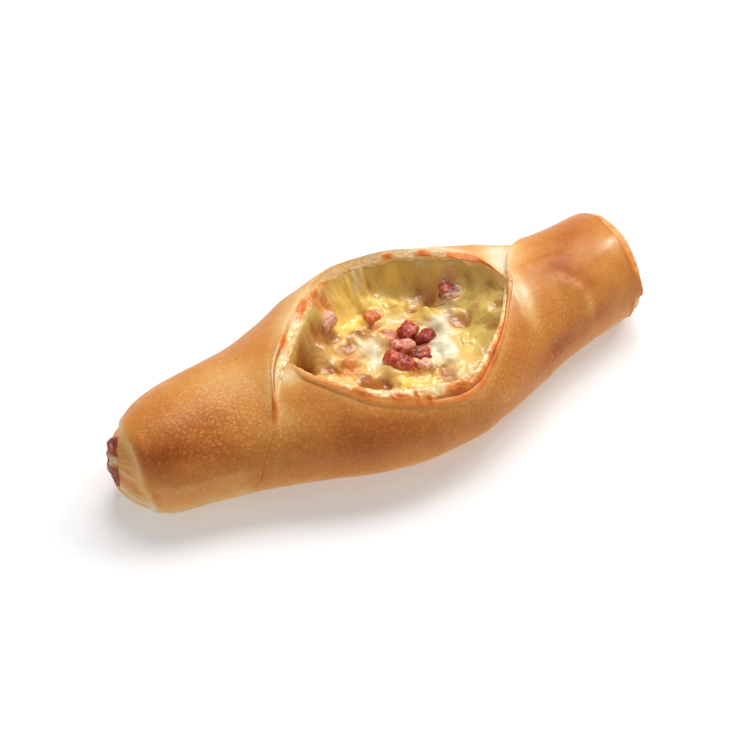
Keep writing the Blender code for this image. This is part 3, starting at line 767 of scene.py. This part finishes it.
# the melted cheese, mm
cheese = {
    "span": (-40.6, 59.4, 0.5),  # its sections: from, to, step
    "wallSteps": 721,            # steps round the wall, to find where the cheese meets it
    "columns": 150,              # points across
    "level": 27.5,               # height in the middle of the opening
    "tilt": -0.13,               # rise for each mm towards the far side
    "leftRise": 9,               # rise towards each end of the opening
    "rightRise": 11,
    # place, height and radius of each lump, a negative one being a hollow
    "lumps": (
        (29.0, 9.6, 6.0, 5.0), (20.5, 19.5, 4.0, 5.5), (10.5, 23.0, 4.0, 7.0), (-5.5, 14.0, 3.5, 7.0),
        (0.0, 14.0, 2.5, 4.0), (2.5, 8.5, 3.0, 3.5), (4.6, 3.2, 3.0, 3.5), (-0.5, 1.0, 3.0, 6.0),
        (-12.5, -3.5, 4.0, 6.0), (-12.5, -14.0, 3.5, 5.0), (31.0, 1.0, 3.0, 4.5), (26.0, -10.5, 3.5, 5.0),
        (24.0, -20.5, 3.0, 5.0), (16.5, -21.5, 2.5, 4.5), (0.5, -22.0, 3.0, 4.5), (39.0, 7.5, 3.5, 5.0),
        (47.0, -6.0, 2.0, 6.0), (44.0, 20.0, 3.0, 7.0), (-6.0, 30.0, 3.0, 6.0), (14.5, -6.0, -3.0, 5.0),
        (-20.0, 8.0, 3.0, 5.0), (-33.0, 4.0, -15.0, 8.0), (-5.5, -17.0, -3.0, 4.0), (35.0, 15.0, -4.0, 5.0),
        (24.0, 28.0, -3.0, 6.0), (-24.0, -3.0, -4.0, 6.0), (-13.0, 21.5, 4.0, 5.0),
    ),
    # drawn up the far wall: place, how far under the lip it ends and its reach from the wall
    "cove": (
        (-41, 9, 5), (-34, 5, 7), (-26, 2, 10), (-15, 1.2, 14), (10, 1.2, 14), (18, 2.5, 14),
        (40, 2.5, 12), (52, 2, 9), (59.5, 2, 6),
    ),
    "coveCurve": 2.2,
    "meniscus": 1.0,             # rise at the walls
    "hug": (2.0, 1.5),           # rise round each piece of ham and its reach
    "buried": 0.8,               # how far its edge runs into the dough
    "underside": (6, 17.0),      # least thickness, and greatest height of the underside
    "warp": 3.0,                 # how far its relief is pulled out of line
    "swell": 1.5,                # height of its soft lumps
    "strand": 0.4,               # height of the melted shreds
    "drip": 0.5,                 # height of the runs down the far wall
    "fine": 0.3,                 # height of its small unevenness
    "grain": 0.12,               # height of the finest
    "morsels": 70,               # melted bits under its skin
    "morselSize": (1.8, 5.4),    # radius
    "morselRise": 0.42,          # height as a share of the radius
    "morselTints": {"cream": 0.6, "yolk": 0.9, "toast": 0.5, "ruddy": 0.45},
    # places darkened with painted shade: place, radius, strength
    "shadedHollows": (
        (-33, 4, 9, 0.9), (-20, 13, 6, 0.9), (-9, -17, 5, 0.9), (-8, 8, 3, 0.4), (35, 15, 4, 0.5),
        (14, -6, 4, 0.5), (-22, -3, 5, 0.5), (13, 30.5, 2.2, 0.5), (33, 22, 4, 0.7),
        (26.5, 15, 1.6, 0.9), (-19, 14, 4, 0.5),
    ),
}


def cheeseHeight(x, y):
    z = cheese["level"] + cheese["tilt"] * y
    z = z + cheese["rightRise"] * ramp(x, 36, 58) + cheese["leftRise"] * fall(x, -28, -6)
    for px, py, height, radius in cheese["lumps"]:
        z = z + height * np.exp(-((x - px) ** 2 + (y - py) ** 2) / radius**2 * 1.6)
    edge = crust(x, lipLines(x)[1], None, smooth(x, roll["farDrop"]))
    share = np.clip(1 + (y - edge[..., 1]) / smooth(x, cheese["cove"], 2), 0, 1)
    rise = np.maximum(edge[..., 2] - smooth(x, cheese["cove"]) - z, 0)
    return z + rise * share ** cheese["coveCurve"]


def hugHeight(x, y):
    # the melted cheese drawn up round each piece of ham
    rise = np.zeros(x.shape)
    for node in hamNodes:
        corners = np.array([v.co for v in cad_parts[node].data.vertices])[:, :2] / mm
        px, py = (corners.max(0) + corners.min(0)) / 2 + roll["middle"]
        radius = 0.25 * (corners.max(0) - corners.min(0)).sum()
        away = np.maximum(np.hypot(x - px, y - py) - radius, 0)
        rise = np.maximum(rise, cheese["hug"][0] * bell(away, cheese["hug"][1]))
    return rise


def ridges(points, size, seed):
    # rounded ropes with narrow valleys between them, 0 to 1
    return 1 - np.abs(roughness(points, size, seed, 1)) * 2.2


def morsels(x, y):
    # domes over the melted bits: height in mm and a share of each of four tints
    draw = np.random.default_rng(12)
    low, high = cheese["morselSize"]
    height, tint = np.zeros(x.shape), np.zeros((4,) + x.shape)
    for _ in range(cheese["morsels"]):
        px, py = draw.uniform(-38, 57), draw.uniform(-40, 46)
        radius = low + (high - low) * draw.random() ** 1.6
        long, angle = draw.uniform(1.0, 1.7), draw.uniform(0, np.pi)
        kind, strength = draw.integers(0, 4), draw.uniform(0.2, 0.7)
        u = (x - px) * np.cos(angle) + (y - py) * np.sin(angle)
        v = -(x - px) * np.sin(angle) + (y - py) * np.cos(angle)
        away = np.hypot(u / long, v) / radius
        dome = np.sqrt(np.clip(1 - away**2, 0, None))
        higher = cheese["morselRise"] * radius * dome > height
        height = np.where(higher, cheese["morselRise"] * radius * dome, height)
        tint[:, higher] = 0
        tint[kind, higher] = (strength * dome)[higher]
    return height, tint


cheeseLook = {
    "base": srgb(238, 198, 116),
    "cream": srgb(244, 234, 200),
    "yolk": srgb(253, 216, 112),
    "olive": srgb(222, 190, 98),
    "toast": srgb(226, 142, 68),
    "ruddy": srgb(210, 142, 112),
    # darker brown that stands in for the shade in creases
    "creaseShade": srgb(178, 112, 48),
    "shine": 0.35,
}

# patches of each colour: place, radius in mm, strength
cheeseTints = {
    "cream": (
        (-1, 3, 6, 0.8), (-2, -5, 4, 0.6), (15, -15.5, 3, 0.5), (24, -18, 6, 0.8), (25.3, -11, 6, 1.0),
        (31, 0.8, 5, 1.0), (38.9, 7, 4, 0.5), (8, 33, 4, 0.5), (27, -5, 4, 0.7), (36, 26, 4, 0.4),
    ),
    "yolk": (
        (10, 24, 7, 0.9), (-4, 20, 6, 0.8), (29, 9.6, 4.5, 0.7), (3.5, -24.7, 5, 0.9),
        (1.4, -18.5, 4, 0.5), (8.3, -25, 4, 0.7), (42, -10, 6, 0.4), (-8, 14, 5, 0.5), (3, 27, 7, 0.7),
        (20.5, 19, 4.5, 0.8), (1, 29.5, 5, 0.6), (-6.7, 19, 4, 0.4), (15, -25, 4, 0.6),
        (25, 31, 5, 0.5), (36, -17, 5, 0.5),
    ),
    "olive": (
        (46, -4, 6, 0.5), (13, 31.5, 6, 0.9), (32, 32, 8, 0.8), (22, 30, 6, 0.6), (2, 33, 5, 0.5),
        (-25, 18, 10, 1.0), (-20, 15, 7, 0.7), (40, -16, 8, 0.7), (49, -2, 12, 0.9), (33, 30, 12, 0.5),
        (-25, -5, 8, 0.5), (50, 15, 10, 0.6),
    ),
    "toast": (
        (-16, -7, 6, 0.5), (-10, 27, 3.5, 0.8), (-16, 24, 3, 0.9), (21, 20.5, 5, 0.4), (29, 15, 3, 0.5),
        (-17, -4, 5, 0.4), (-9, 0, 3, 0.6), (35, -15, 4, 0.45), (6.4, 12.2, 3, 0.8), (7, 6, 2.5, 0.8),
        (9.6, -20, 3, 0.8), (-8, 8, 4, 0.5), (-16, -7.5, 4, 0.5), (-19, 13, 6, 0.6), (27, 29, 6, 0.3),
    ),
    "ruddy": (
        (10, 1, 4, 0.9), (12.5, 20, 3.5, 0.6), (19, -8, 4, 0.6), (43, -3, 4, 0.5), (49, -0.5, 4, 0.5),
        (-6, -16, 4, 0.8), (-13.4, 17, 4, 0.7), (-13, 8, 4, 0.2), (14, -3, 9, 0.8), (40.9, 10, 4, 0.4),
        (44, 16, 6, 0.6), (36, 20, 4, 0.5),
    ),
}

# how soft the edge of each colour is, in the order in which they lie over each other
cheeseEdges = {
    "olive": (0.15, 0.75), "yolk": (0.2, 0.7), "cream": (0.25, 0.8),
    "toast": (0.3, 0.8), "ruddy": (0.3, 0.8),
}


def meltedCheeseLook():
    look = Look("meltedCheese")
    blotch = look.noise(7, 4, 0.6, warp=0.6)
    fine = look.noise(2.0, 3, 0.6)
    colour = look.mix(look.range(blotch, 0.5, 0.85), cheeseLook["base"], cheeseLook["cream"])
    for kind, (low, high) in cheeseEdges.items():
        uneven = look.math("SUBTRACT", fine if kind == "toast" else blotch, 0.5)
        amount = look.math("MULTIPLY_ADD", uneven, 0.9, look.attribute(kind))
        colour = look.mix(look.range(amount, low, high), colour, cheeseLook[kind])
    # painted shade in the creases and low places
    colour = look.mix(look.attribute("creaseShade"), colour, cheeseLook["creaseShade"])
    relief = look.bump(look.noise(2.6, 3, 0.55, (1, 1.6, 1), warp=0.8), 0.3, 0.6)
    relief = look.bump(fine, 0.12, 0.25, relief)
    rough = look.range(blotch, 0.3, 0.7, 0.22, 0.4)
    return look.done(
        colour, rough, relief,
        Subsurface_Weight=0.12, Subsurface_Radius=(0.004, 0.002, 0.001), Subsurface_Scale=0.4,
        Coat_Weight=cheeseLook["shine"], Coat_Roughness=0.12, Specular_IOR_Level=0.5,
    )


def makeCheese(look):
    xs = np.arange(*cheese["span"])
    phi = np.linspace(0, np.pi, cheese["wallSteps"])[None, :]
    # where the cheese meets the wall on each section
    wall = cavityWall(xs[:, None], phi)
    under = wall[..., 2] < cheeseHeight(wall[..., 0], wall[..., 1])
    keep = under[:, cheese["wallSteps"] // 2] & (under.sum(1) > 20)
    xs, wall, under = xs[keep], wall[keep], under[keep]
    rows = np.arange(len(xs))
    first = under.argmax(1)
    last = under.shape[1] - 1 - under[:, ::-1].argmax(1)
    farY = wall[rows, first, 1] + cheese["buried"]
    nearY = wall[rows, last, 1] - cheese["buried"]
    t = np.linspace(0, 1, cheese["columns"])[None, :]
    t = t - 0.35 * np.sin(2 * np.pi * t) / (2 * np.pi)
    y = farY[:, None] + (nearY - farY)[:, None] * t
    x = np.broadcast_to(xs[:, None], y.shape)
    z = cheeseHeight(x, y)
    flat = np.stack((x, y, 0 * z), -1)
    edge = np.minimum(farY[:, None] - y, y - nearY[:, None])
    edge = np.minimum(edge, np.minimum(x - xs[0], xs[-1] - x))
    fade = ramp(edge, 0.0, 2.5)
    # relief: soft lumps, melted bits and shreds, and runs down the far wall
    warp = cheese["warp"] * np.stack((roughness(flat, 8, 21, 1), roughness(flat, 8, 22, 1), 0 * z), -1)
    wavy = flat + 0.4 * warp
    dome, domeTint = morsels(wavy[..., 0], wavy[..., 1])
    swell = roughness(flat + warp, 8.5, 23, 2)
    slant = np.array(((1.0, 0.5, 0), (-0.2, 0.4, 0), (0, 0, 1.0)))
    strand = ridges((flat + warp) @ slant, 3.6, 24)
    calm = np.clip(0.6 + 1.1 * roughness(flat, 13, 27, 1), 0.1, 1.2)
    slope = ramp(y - farY[:, None], -14, -5) * fall(x, 46, 52)
    dome, domeTint = dome * (1 - slope), domeTint * (1 - slope)
    downhill = flat @ np.diag((1.0, 0.25, 0)) + 0.3 * warp
    drip = cheese["drip"] * slope * roughness(downhill, 2.6, 29, 2)
    relief = cheese["swell"] * swell + cheese["strand"] * strand * calm
    relief = relief + 0.7 * (dome - 0.7) + drip + 0.7 * slope
    relief = fade * (relief + cheese["fine"] * roughness(flat + 0.5 * warp, 2.4, 25, 2))
    relief = relief + cheese["grain"] * roughness(flat, 1.1, 28, 1)
    z = z + hugHeight(x, y)
    z = z + cheese["meniscus"] * np.exp(-edge / 2.0) * (0.8 + 0.5 * roughness(flat, 6, 26, 1))
    # painted shade: darker and browner at the feet of the melted bits, in the low places and at the listed
    # spots
    creaseShade = 0.5 * bell(dome - 0.15, 0.15) * (dome > 0) + np.clip(-1.8 * swell - 0.1, 0, 0.8)
    creaseShade = creaseShade * (1 - 0.85 * slope)
    for px, py, radius, strength in cheese["shadedHollows"]:
        creaseShade = creaseShade + strength * bell(np.hypot(x - px, y - py), radius)
    creaseShade = np.clip(creaseShade, 0, 1) * fade
    # the surface, and a plain underside that the dough hides
    top = np.stack((x, y, z), -1)
    top[0, :, 0] -= cheese["buried"]
    top[-1, :, 0] += cheese["buried"]
    floor = top.copy()
    floor[..., 2] = np.minimum(z - cheese["underside"][0], cheese["underside"][1])
    share = np.linspace(-1, 1, y.shape[1])[None, :]
    floor[..., 1] = 0.5 * (farY + nearY)[:, None] + 0.5 * (farY - nearY)[:, None] * -share * 0.9
    bottom = floor[:, ::-10]
    ring = np.concatenate((top, bottom), 1)
    tints = {"creaseShade": np.concatenate((creaseShade, 0 * bottom[..., 0]), 1)}
    for kind, spots in cheeseTints.items():
        amount = np.zeros(ring.shape[:2])
        if kind in cheese["morselTints"]:
            which = list(cheese["morselTints"]).index(kind)
            amount[:, :y.shape[1]] += cheese["morselTints"][kind] * domeTint[which]
        for px, py, radius, strength in spots:
            amount += strength * bell(np.hypot(ring[..., 0] - px, ring[..., 1] - py), radius)
        tints[kind] = amount
    piece = meshObject("meltedCheese", ring, look, tints)
    alongNormals(piece, np.concatenate((relief, 0 * bottom[..., 0]), 1))
    return piece


burntLook = {
    "red": srgb(188, 80, 46), "char": srgb(112, 44, 26),
    "cheese": srgb(206, 182, 128), "edge": srgb(196, 116, 62),
}

# the filling where it comes out of the closed ends, mm
fillingEnds = {
    "round": 1.3,                # rounding of its tips
    "points": 72,                # points round it
    "nearTip": (-6, -0.5),       # where its lumps start and are whole
    "swell": 0.4,                # how far it grows at its tips
    "uneven": ((0.7, 4, 31), (0.28, 1.8, 32)),   # height, size and seed
    # each piece: where it starts, where it ends, and its lumps, each with its height and shift
    # from the middle, its radius, how far it comes out, and its share of cheese
    "pieces": {
        "leftEndFilling": (-33, roll["leftTip"] - 0.4, (
            (12.0, 0.6, 3.4, -0.8, 0.1), (6.5, 0.6, 4.4, 0.7, 0.0), (5.0, -3.2, 3.6, 0.5, 1.0),
            (1.0, -0.6, 2.6, 0.2, 0.9), (-5.0, -0.4, 4.4, 1.6, 0.0), (-11.0, 0.2, 3.6, 0.6, 0.2),
        )),
        "rightEndFilling": (50, roll["rightTip"] + 0.4, (
            (9.0, 0.2, 4.0, 0.8, 0.2), (2.0, -0.6, 4.6, 1.4, 0.0), (-6.0, 0.3, 4.4, 1.0, 0.7),
        )),
    },
}


def burntFillingLook():
    look = Look("burntFilling")
    mottle = look.noise(3.2, 3, 0.6)
    colour = look.mix(look.range(mottle, 0.36, 0.64), burntLook["red"], burntLook["char"])
    patch = look.math("MULTIPLY_ADD", look.math("SUBTRACT", mottle, 0.5), 0.8, look.attribute("cheese"))
    colour = look.mix(look.range(patch, 0.25, 0.5), colour, burntLook["edge"])
    colour = look.mix(look.range(patch, 0.45, 0.7), colour, burntLook["cheese"])
    relief = look.bump(look.noise(1.6, 4, 0.6), 0.5, 0.6)
    return look.done(colour, 0.4, relief, Coat_Weight=0.1, Coat_Roughness=0.2, Specular_IOR_Level=0.3)


def makeCore(name, look):
    # the filling's run through a closed end, rounded off and lumpy where it comes out
    inner, tip, lumps = fillingEnds["pieces"][name]
    out = np.sign(tip - inner)
    cap, run = np.linspace(0.05, 1, 12), np.linspace(0, 1, 60)[1:] ** 2
    back = fillingEnds["round"] * (1 - np.sqrt(1 - cap**2))
    along = fillingEnds["round"] + (abs(inner - tip) - fillingEnds["round"]) * run
    x = (tip - out * np.concatenate((back, along)))[:, None]
    size = np.concatenate((cap, np.ones(len(run))))[:, None]
    a = np.linspace(0, 2 * np.pi, fillingEnds["points"], endpoint=False)[None, :]
    shift, height, halfWide, halfHigh = (smooth(x, roll["core"], k) for k in range(1, 5))
    y, z = shift + size * halfWide * np.cos(a), height + size * halfHigh * np.sin(a)
    ring = np.stack(np.broadcast_arrays(x, y, z), -1)
    nearTip = ramp(out * (ring[..., 0] - tip), *fillingEnds["nearTip"])
    cheesy, bulge = np.zeros(y.shape), np.zeros(y.shape)
    for up, side, radius, reach, share in lumps:
        away = np.hypot(y - shift[0] - side, z - height[0] - up)
        bulge = bulge + reach * bell(away, radius)
        cheesy = np.maximum(cheesy, share * bell(away, radius))
    ring[..., 0] += out * bulge * nearTip
    core = meshObject(name, ring, look, {"cheese": cheesy})
    points, nearTip = ring.reshape(-1, 3), nearTip.ravel()
    uneven = sum(rise * roughness(points, wide, seed) for rise, wide, seed in fillingEnds["uneven"])
    alongNormals(core, uneven * (1 + 0.7 * nearTip) + fillingEnds["swell"] * nearTip)
    return core


hamLook = {
    "fat": srgb(244, 214, 184), "pink": srgb(234, 172, 144), "salmon": srgb(210, 106, 84),
    "lean": srgb(174, 48, 34), "dark": srgb(124, 38, 30),
    "toast": srgb(214, 116, 54), "film": srgb(242, 208, 166),
    "shine": 0.17,
}

ham = {
    "voxel": 0.35,               # mesh size, mm
    "swell": 0.5,                # how far each piece grows past its solid, mm
    "lumps": ((0.9, 6.5, 60), (0.5, 2.6, 0), (0.28, 1.0, 30)),   # height and size in mm, seed
    "browned": (0.5, 3.0),       # height over the cheese where browning starts and is whole, mm
    # film of cheese: share at the foot, share lost above it, and from and to which height in mm
    "film": (1.0, 1.0, -0.5, 2.2),
    "farFilm": (0.8, 0.5, 1.0, 4.5),     # the same for ham_9, high on the far slope
    # each piece: how lean, how toasted
    "tones": {
        "ham_1": (0.62, 0.1), "ham_2": (0.72, 0.15), "ham_3": (0.92, 0.0), "ham_4": (0.92, 0.25),
        "ham_5": (0.34, 0.0), "ham_6": (0.26, 0.0), "ham_7": (0.60, 0.75), "ham_8": (0.36, 0.4),
        "ham_9": (0.9, 0.1), "ham_10": (0.34, 0.1),
    },
}


def dicedHamLook():
    look = Look("dicedHam")
    fibre = look.math("SUBTRACT", look.noise(3.0, 4, 0.6, (1, 2.4, 1)), 0.5)
    patch = look.math("SUBTRACT", look.noise(5.5, 2, 0.5), 0.5)
    tone = look.math("MULTIPLY_ADD", fibre, 0.7, look.attribute("lean"))
    tone = look.math("MULTIPLY_ADD", patch, 1.3, tone)
    colour = look.ramp(tone, (
        (0.05, hamLook["fat"]), (0.32, hamLook["pink"]), (0.55, hamLook["salmon"]),
        (0.78, hamLook["lean"]), (1.0, hamLook["dark"]),
    ))
    toast = look.mottled(look.attribute("toast"), 2.4, 0.9)
    colour = look.mix(look.range(toast, 0.65, 1.0), colour, hamLook["toast"])
    film = look.mottled(look.attribute("film"), 2.8, 0.9)
    colour = look.mix(look.range(film, 0.6, 1.05, 0.0, 0.9), colour, hamLook["film"])
    relief = look.bump(look.noise(1.3, 4, 0.6, (1, 2.2, 1)), 0.5, 0.45)
    return look.done(
        colour, 0.32, relief,
        Subsurface_Weight=0.12, Subsurface_Radius=(0.003, 0.001, 0.0008), Subsurface_Scale=0.4,
        Coat_Weight=hamLook["shine"], Coat_Roughness=0.15,
    )


def makeHam(node, look):
    # a fine mesh over the CAD solid, then its own unevenness
    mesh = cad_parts[node].data.copy()
    shape = bmesh.new()
    shape.from_mesh(mesh)
    bmesh.ops.remove_doubles(shape, verts=shape.verts[:], dist=1e-6)
    shape.to_mesh(mesh)
    shape.free()
    piece = bpy.data.objects.new(node.replace("_", "Piece"), mesh)
    bpy.context.scene.collection.objects.link(piece)
    remesh = piece.modifiers.new("Remesh", "REMESH")
    remesh.mode, remesh.voxel_size = "VOXEL", ham["voxel"] * mm
    relax = piece.modifiers.new("Relax", "SMOOTH")
    relax.factor, relax.iterations = 0.5, 1
    fine = plainMesh(piece)
    piece.modifiers.clear()
    piece.data = fine
    bpy.data.meshes.remove(mesh)
    fine.name = piece.name
    fine.materials.clear()
    fine.materials.append(look)
    fine.shade_smooth()
    points = np.zeros(len(fine.vertices) * 3, np.float32)
    fine.vertices.foreach_get("co", points)
    points = points.reshape(-1, 3) / mm
    first = 40 + int(node.split("_")[-1])
    amount = sum(rise * roughness(points, size, first + seed) for rise, size, seed in ham["lumps"])
    alongNormals(piece, amount + ham["swell"])
    x, y = points[:, 0] + roll["middle"][0], points[:, 1] + roll["middle"][1]
    above = points[:, 2] - cheeseHeight(x, y)
    lean, toast = ham["tones"][node]
    most, lost, low, high = ham["farFilm"] if node == "ham_9" else ham["film"]
    setField(fine, "lean", np.full(len(points), lean))
    setField(fine, "toast", toast * ramp(above, *ham["browned"]))
    setField(fine, "film", 0.75 * (most - lost * ramp(above, low, high)))
    return piece


def newTree(name, inputs):
    tree = bpy.data.node_groups.new(name, "GeometryNodeTree")
    tree.interface.new_socket("Geometry", in_out="INPUT", socket_type="NodeSocketGeometry")
    for label, kind, value in inputs:
        socket = tree.interface.new_socket(label, in_out="INPUT", socket_type=kind)
        socket.default_value = value
    tree.interface.new_socket("Geometry", in_out="OUTPUT", socket_type="NodeSocketGeometry")
    return tree, tree.nodes.new("NodeGroupInput"), tree.nodes.new("NodeGroupOutput")


def setInput(modifier, label, value):
    for item in modifier.node_group.interface.items_tree:
        if item.item_type == "SOCKET" and item.in_out == "INPUT" and item.name == label:
            modifier[item.identifier] = value


blisters = {
    "width": 1.3,                # mm
    "flatness": 0.09,            # height as a share of the width
    "density": 0.16,             # blisters a square mm, where there are most
    "seed": 4,
}


def times(tree, a, b):
    made = tree.nodes.new("ShaderNodeMath")
    made.operation = "MULTIPLY"
    tree.links.new(a, made.inputs[0])
    tree.links.new(b, made.inputs[1])
    return made.outputs[0]


def blisterTree(look):
    tree, source, result = newTree("blisterTree", (
        ("Width", "NodeSocketFloat", 0.001), ("Flatness", "NodeSocketFloat", 0.2),
        ("Density", "NodeSocketFloat", 50000.0), ("Seed", "NodeSocketInt", 1),
    ))
    add, link = tree.nodes.new, tree.links.new
    where = add("GeometryNodeInputNamedAttribute")
    where.data_type = "FLOAT"
    where.inputs["Name"].default_value = "blister"
    scatter = add("GeometryNodeDistributePointsOnFaces")
    link(source.outputs["Geometry"], scatter.inputs["Mesh"])
    link(times(tree, where.outputs["Attribute"], source.outputs["Density"]), scatter.inputs["Density"])
    link(source.outputs["Seed"], scatter.inputs["Seed"])
    bead = add("GeometryNodeMeshIcoSphere")
    bead.inputs["Radius"].default_value = 0.5
    bead.inputs["Subdivisions"].default_value = 2
    size = add("FunctionNodeRandomValue")
    size.data_type = "FLOAT"
    size.inputs[2].default_value, size.inputs[3].default_value = 0.5, 1.25
    link(source.outputs["Seed"], size.inputs["Seed"])
    wide = times(tree, size.outputs[1], source.outputs["Width"])
    scale = add("ShaderNodeCombineXYZ")
    link(wide, scale.inputs[0])
    link(wide, scale.inputs[1])
    link(times(tree, wide, source.outputs["Flatness"]), scale.inputs[2])
    place = add("GeometryNodeInstanceOnPoints")
    link(scatter.outputs["Points"], place.inputs["Points"])
    link(scatter.outputs["Rotation"], place.inputs["Rotation"])
    link(bead.outputs["Mesh"], place.inputs["Instance"])
    link(scale.outputs[0], place.inputs["Scale"])
    last = place.outputs[0]
    for kind in ("GeometryNodeRealizeInstances", "GeometryNodeSetShadeSmooth", "GeometryNodeSetMaterial"):
        made = add(kind)
        link(last, made.inputs[0])
        last = made.outputs[0]
    made.inputs["Material"].default_value = look
    link(last, result.inputs[0])
    return tree


def makeBlisters(bread):
    modifier = bread.modifiers.new("Blisters", "NODES")
    modifier.node_group = blisterTree(blisterSkin())
    for label, value in (
        ("Width", blisters["width"] * mm), ("Flatness", blisters["flatness"]),
        ("Density", blisters["density"] / mm**2), ("Seed", blisters["seed"]),
    ):
        setInput(modifier, label, value)
    made = plainMesh(bread)
    bread.modifiers.remove(modifier)
    made.name = "crustBlisters"
    piece = bpy.data.objects.new("crustBlisters", made)
    bpy.context.scene.collection.objects.link(piece)
    print("blisters:", len(made.polygons), "faces")
    return piece


bread = makeBread(bakedCrust())
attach(bread, "root")
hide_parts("bread")
print("bread:", len(bread.data.polygons), "faces")

blisterPiece = makeBlisters(bread)
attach(blisterPiece, "root")

meltedCheese = makeCheese(meltedCheeseLook())
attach(meltedCheese, "root")
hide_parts("filling")
print("cheese:", len(meltedCheese.data.polygons), "faces")

burnt = burntFillingLook()
for name in fillingEnds["pieces"]:
    core = makeCore(name, burnt)
    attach(core, "root")
    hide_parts("filling")
print("ends of the filling ready")

hamMaterial = dicedHamLook()
for node in hamNodes:
    piece = makeHam(node, hamMaterial)
    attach(piece, "root")
    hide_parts(node)
print("ham ready")

studio = {
    "key": ((0.42, 0.58, 1.34), 0.9, 15.0),      # place and size in m, power in W
    "spark": ((1.05, 0.2, 1.12), 0.6, 7.6),
    "sky": 0.38,                 # brightness of the surroundings
    "floor": (0.78, 0.78, 0.78),
    "floorGlow": 0.27,
    "floorReach": 3.0,           # half its width, m
    "aim": (-0.0059, -0.00306, 0.022),           # where the camera looks, m
    "back": (-0.3057, -0.5654, 0.7660),          # from there towards the camera
    "distance": 0.866,
    "lens": 100,
    "sensor": 36,
}


def areaLight(name, place, size, power):
    data = bpy.data.lights.new(name, "AREA")
    data.shape, data.size, data.energy = "DISK", size, power
    lamp = bpy.data.objects.new(name, data)
    lamp.location = place
    lamp.rotation_euler = (-Vector(place)).to_track_quat("-Z", "Y").to_euler()
    bpy.context.scene.collection.objects.link(lamp)


def makeStudio():
    scene = bpy.context.scene
    floorLook = Look("paleFloor").done(
        studio["floor"] + (1.0,), 0.9, Specular_IOR_Level=0.0,
        Emission_Color=(1.0, 1.0, 1.0, 1.0), Emission_Strength=studio["floorGlow"],
    )
    mesh = bpy.data.meshes.new("floor")
    wide = studio["floorReach"]
    corners = [(-wide, -wide, 0), (wide, -wide, 0), (wide, wide, 0), (-wide, wide, 0)]
    mesh.from_pydata(corners, [], [(0, 1, 2, 3)])
    mesh.materials.append(floorLook)
    floor = bpy.data.objects.new("floor", mesh)
    scene.collection.objects.link(floor)
    areaLight("key", *studio["key"])
    areaLight("spark", *studio["spark"])
    world = bpy.data.worlds.new("studioWorld")
    world.use_nodes = True
    sky = world.node_tree.nodes["Background"].inputs
    sky["Color"].default_value, sky["Strength"].default_value = (1, 1, 1, 1), studio["sky"]
    scene.world = world
    scene.view_settings.view_transform = "Standard"
    camera = bpy.data.cameras.new("camera")
    camera.lens, camera.sensor_width = studio["lens"], studio["sensor"]
    eye = bpy.data.objects.new("camera", camera)
    back = Vector(studio["back"]).normalized()
    eye.location = Vector(studio["aim"]) + back * studio["distance"]
    eye.rotation_euler = (-back).to_track_quat("-Z", "Y").to_euler()
    scene.collection.objects.link(eye)
    scene.camera = eye


makeStudio()
print("studio ready")
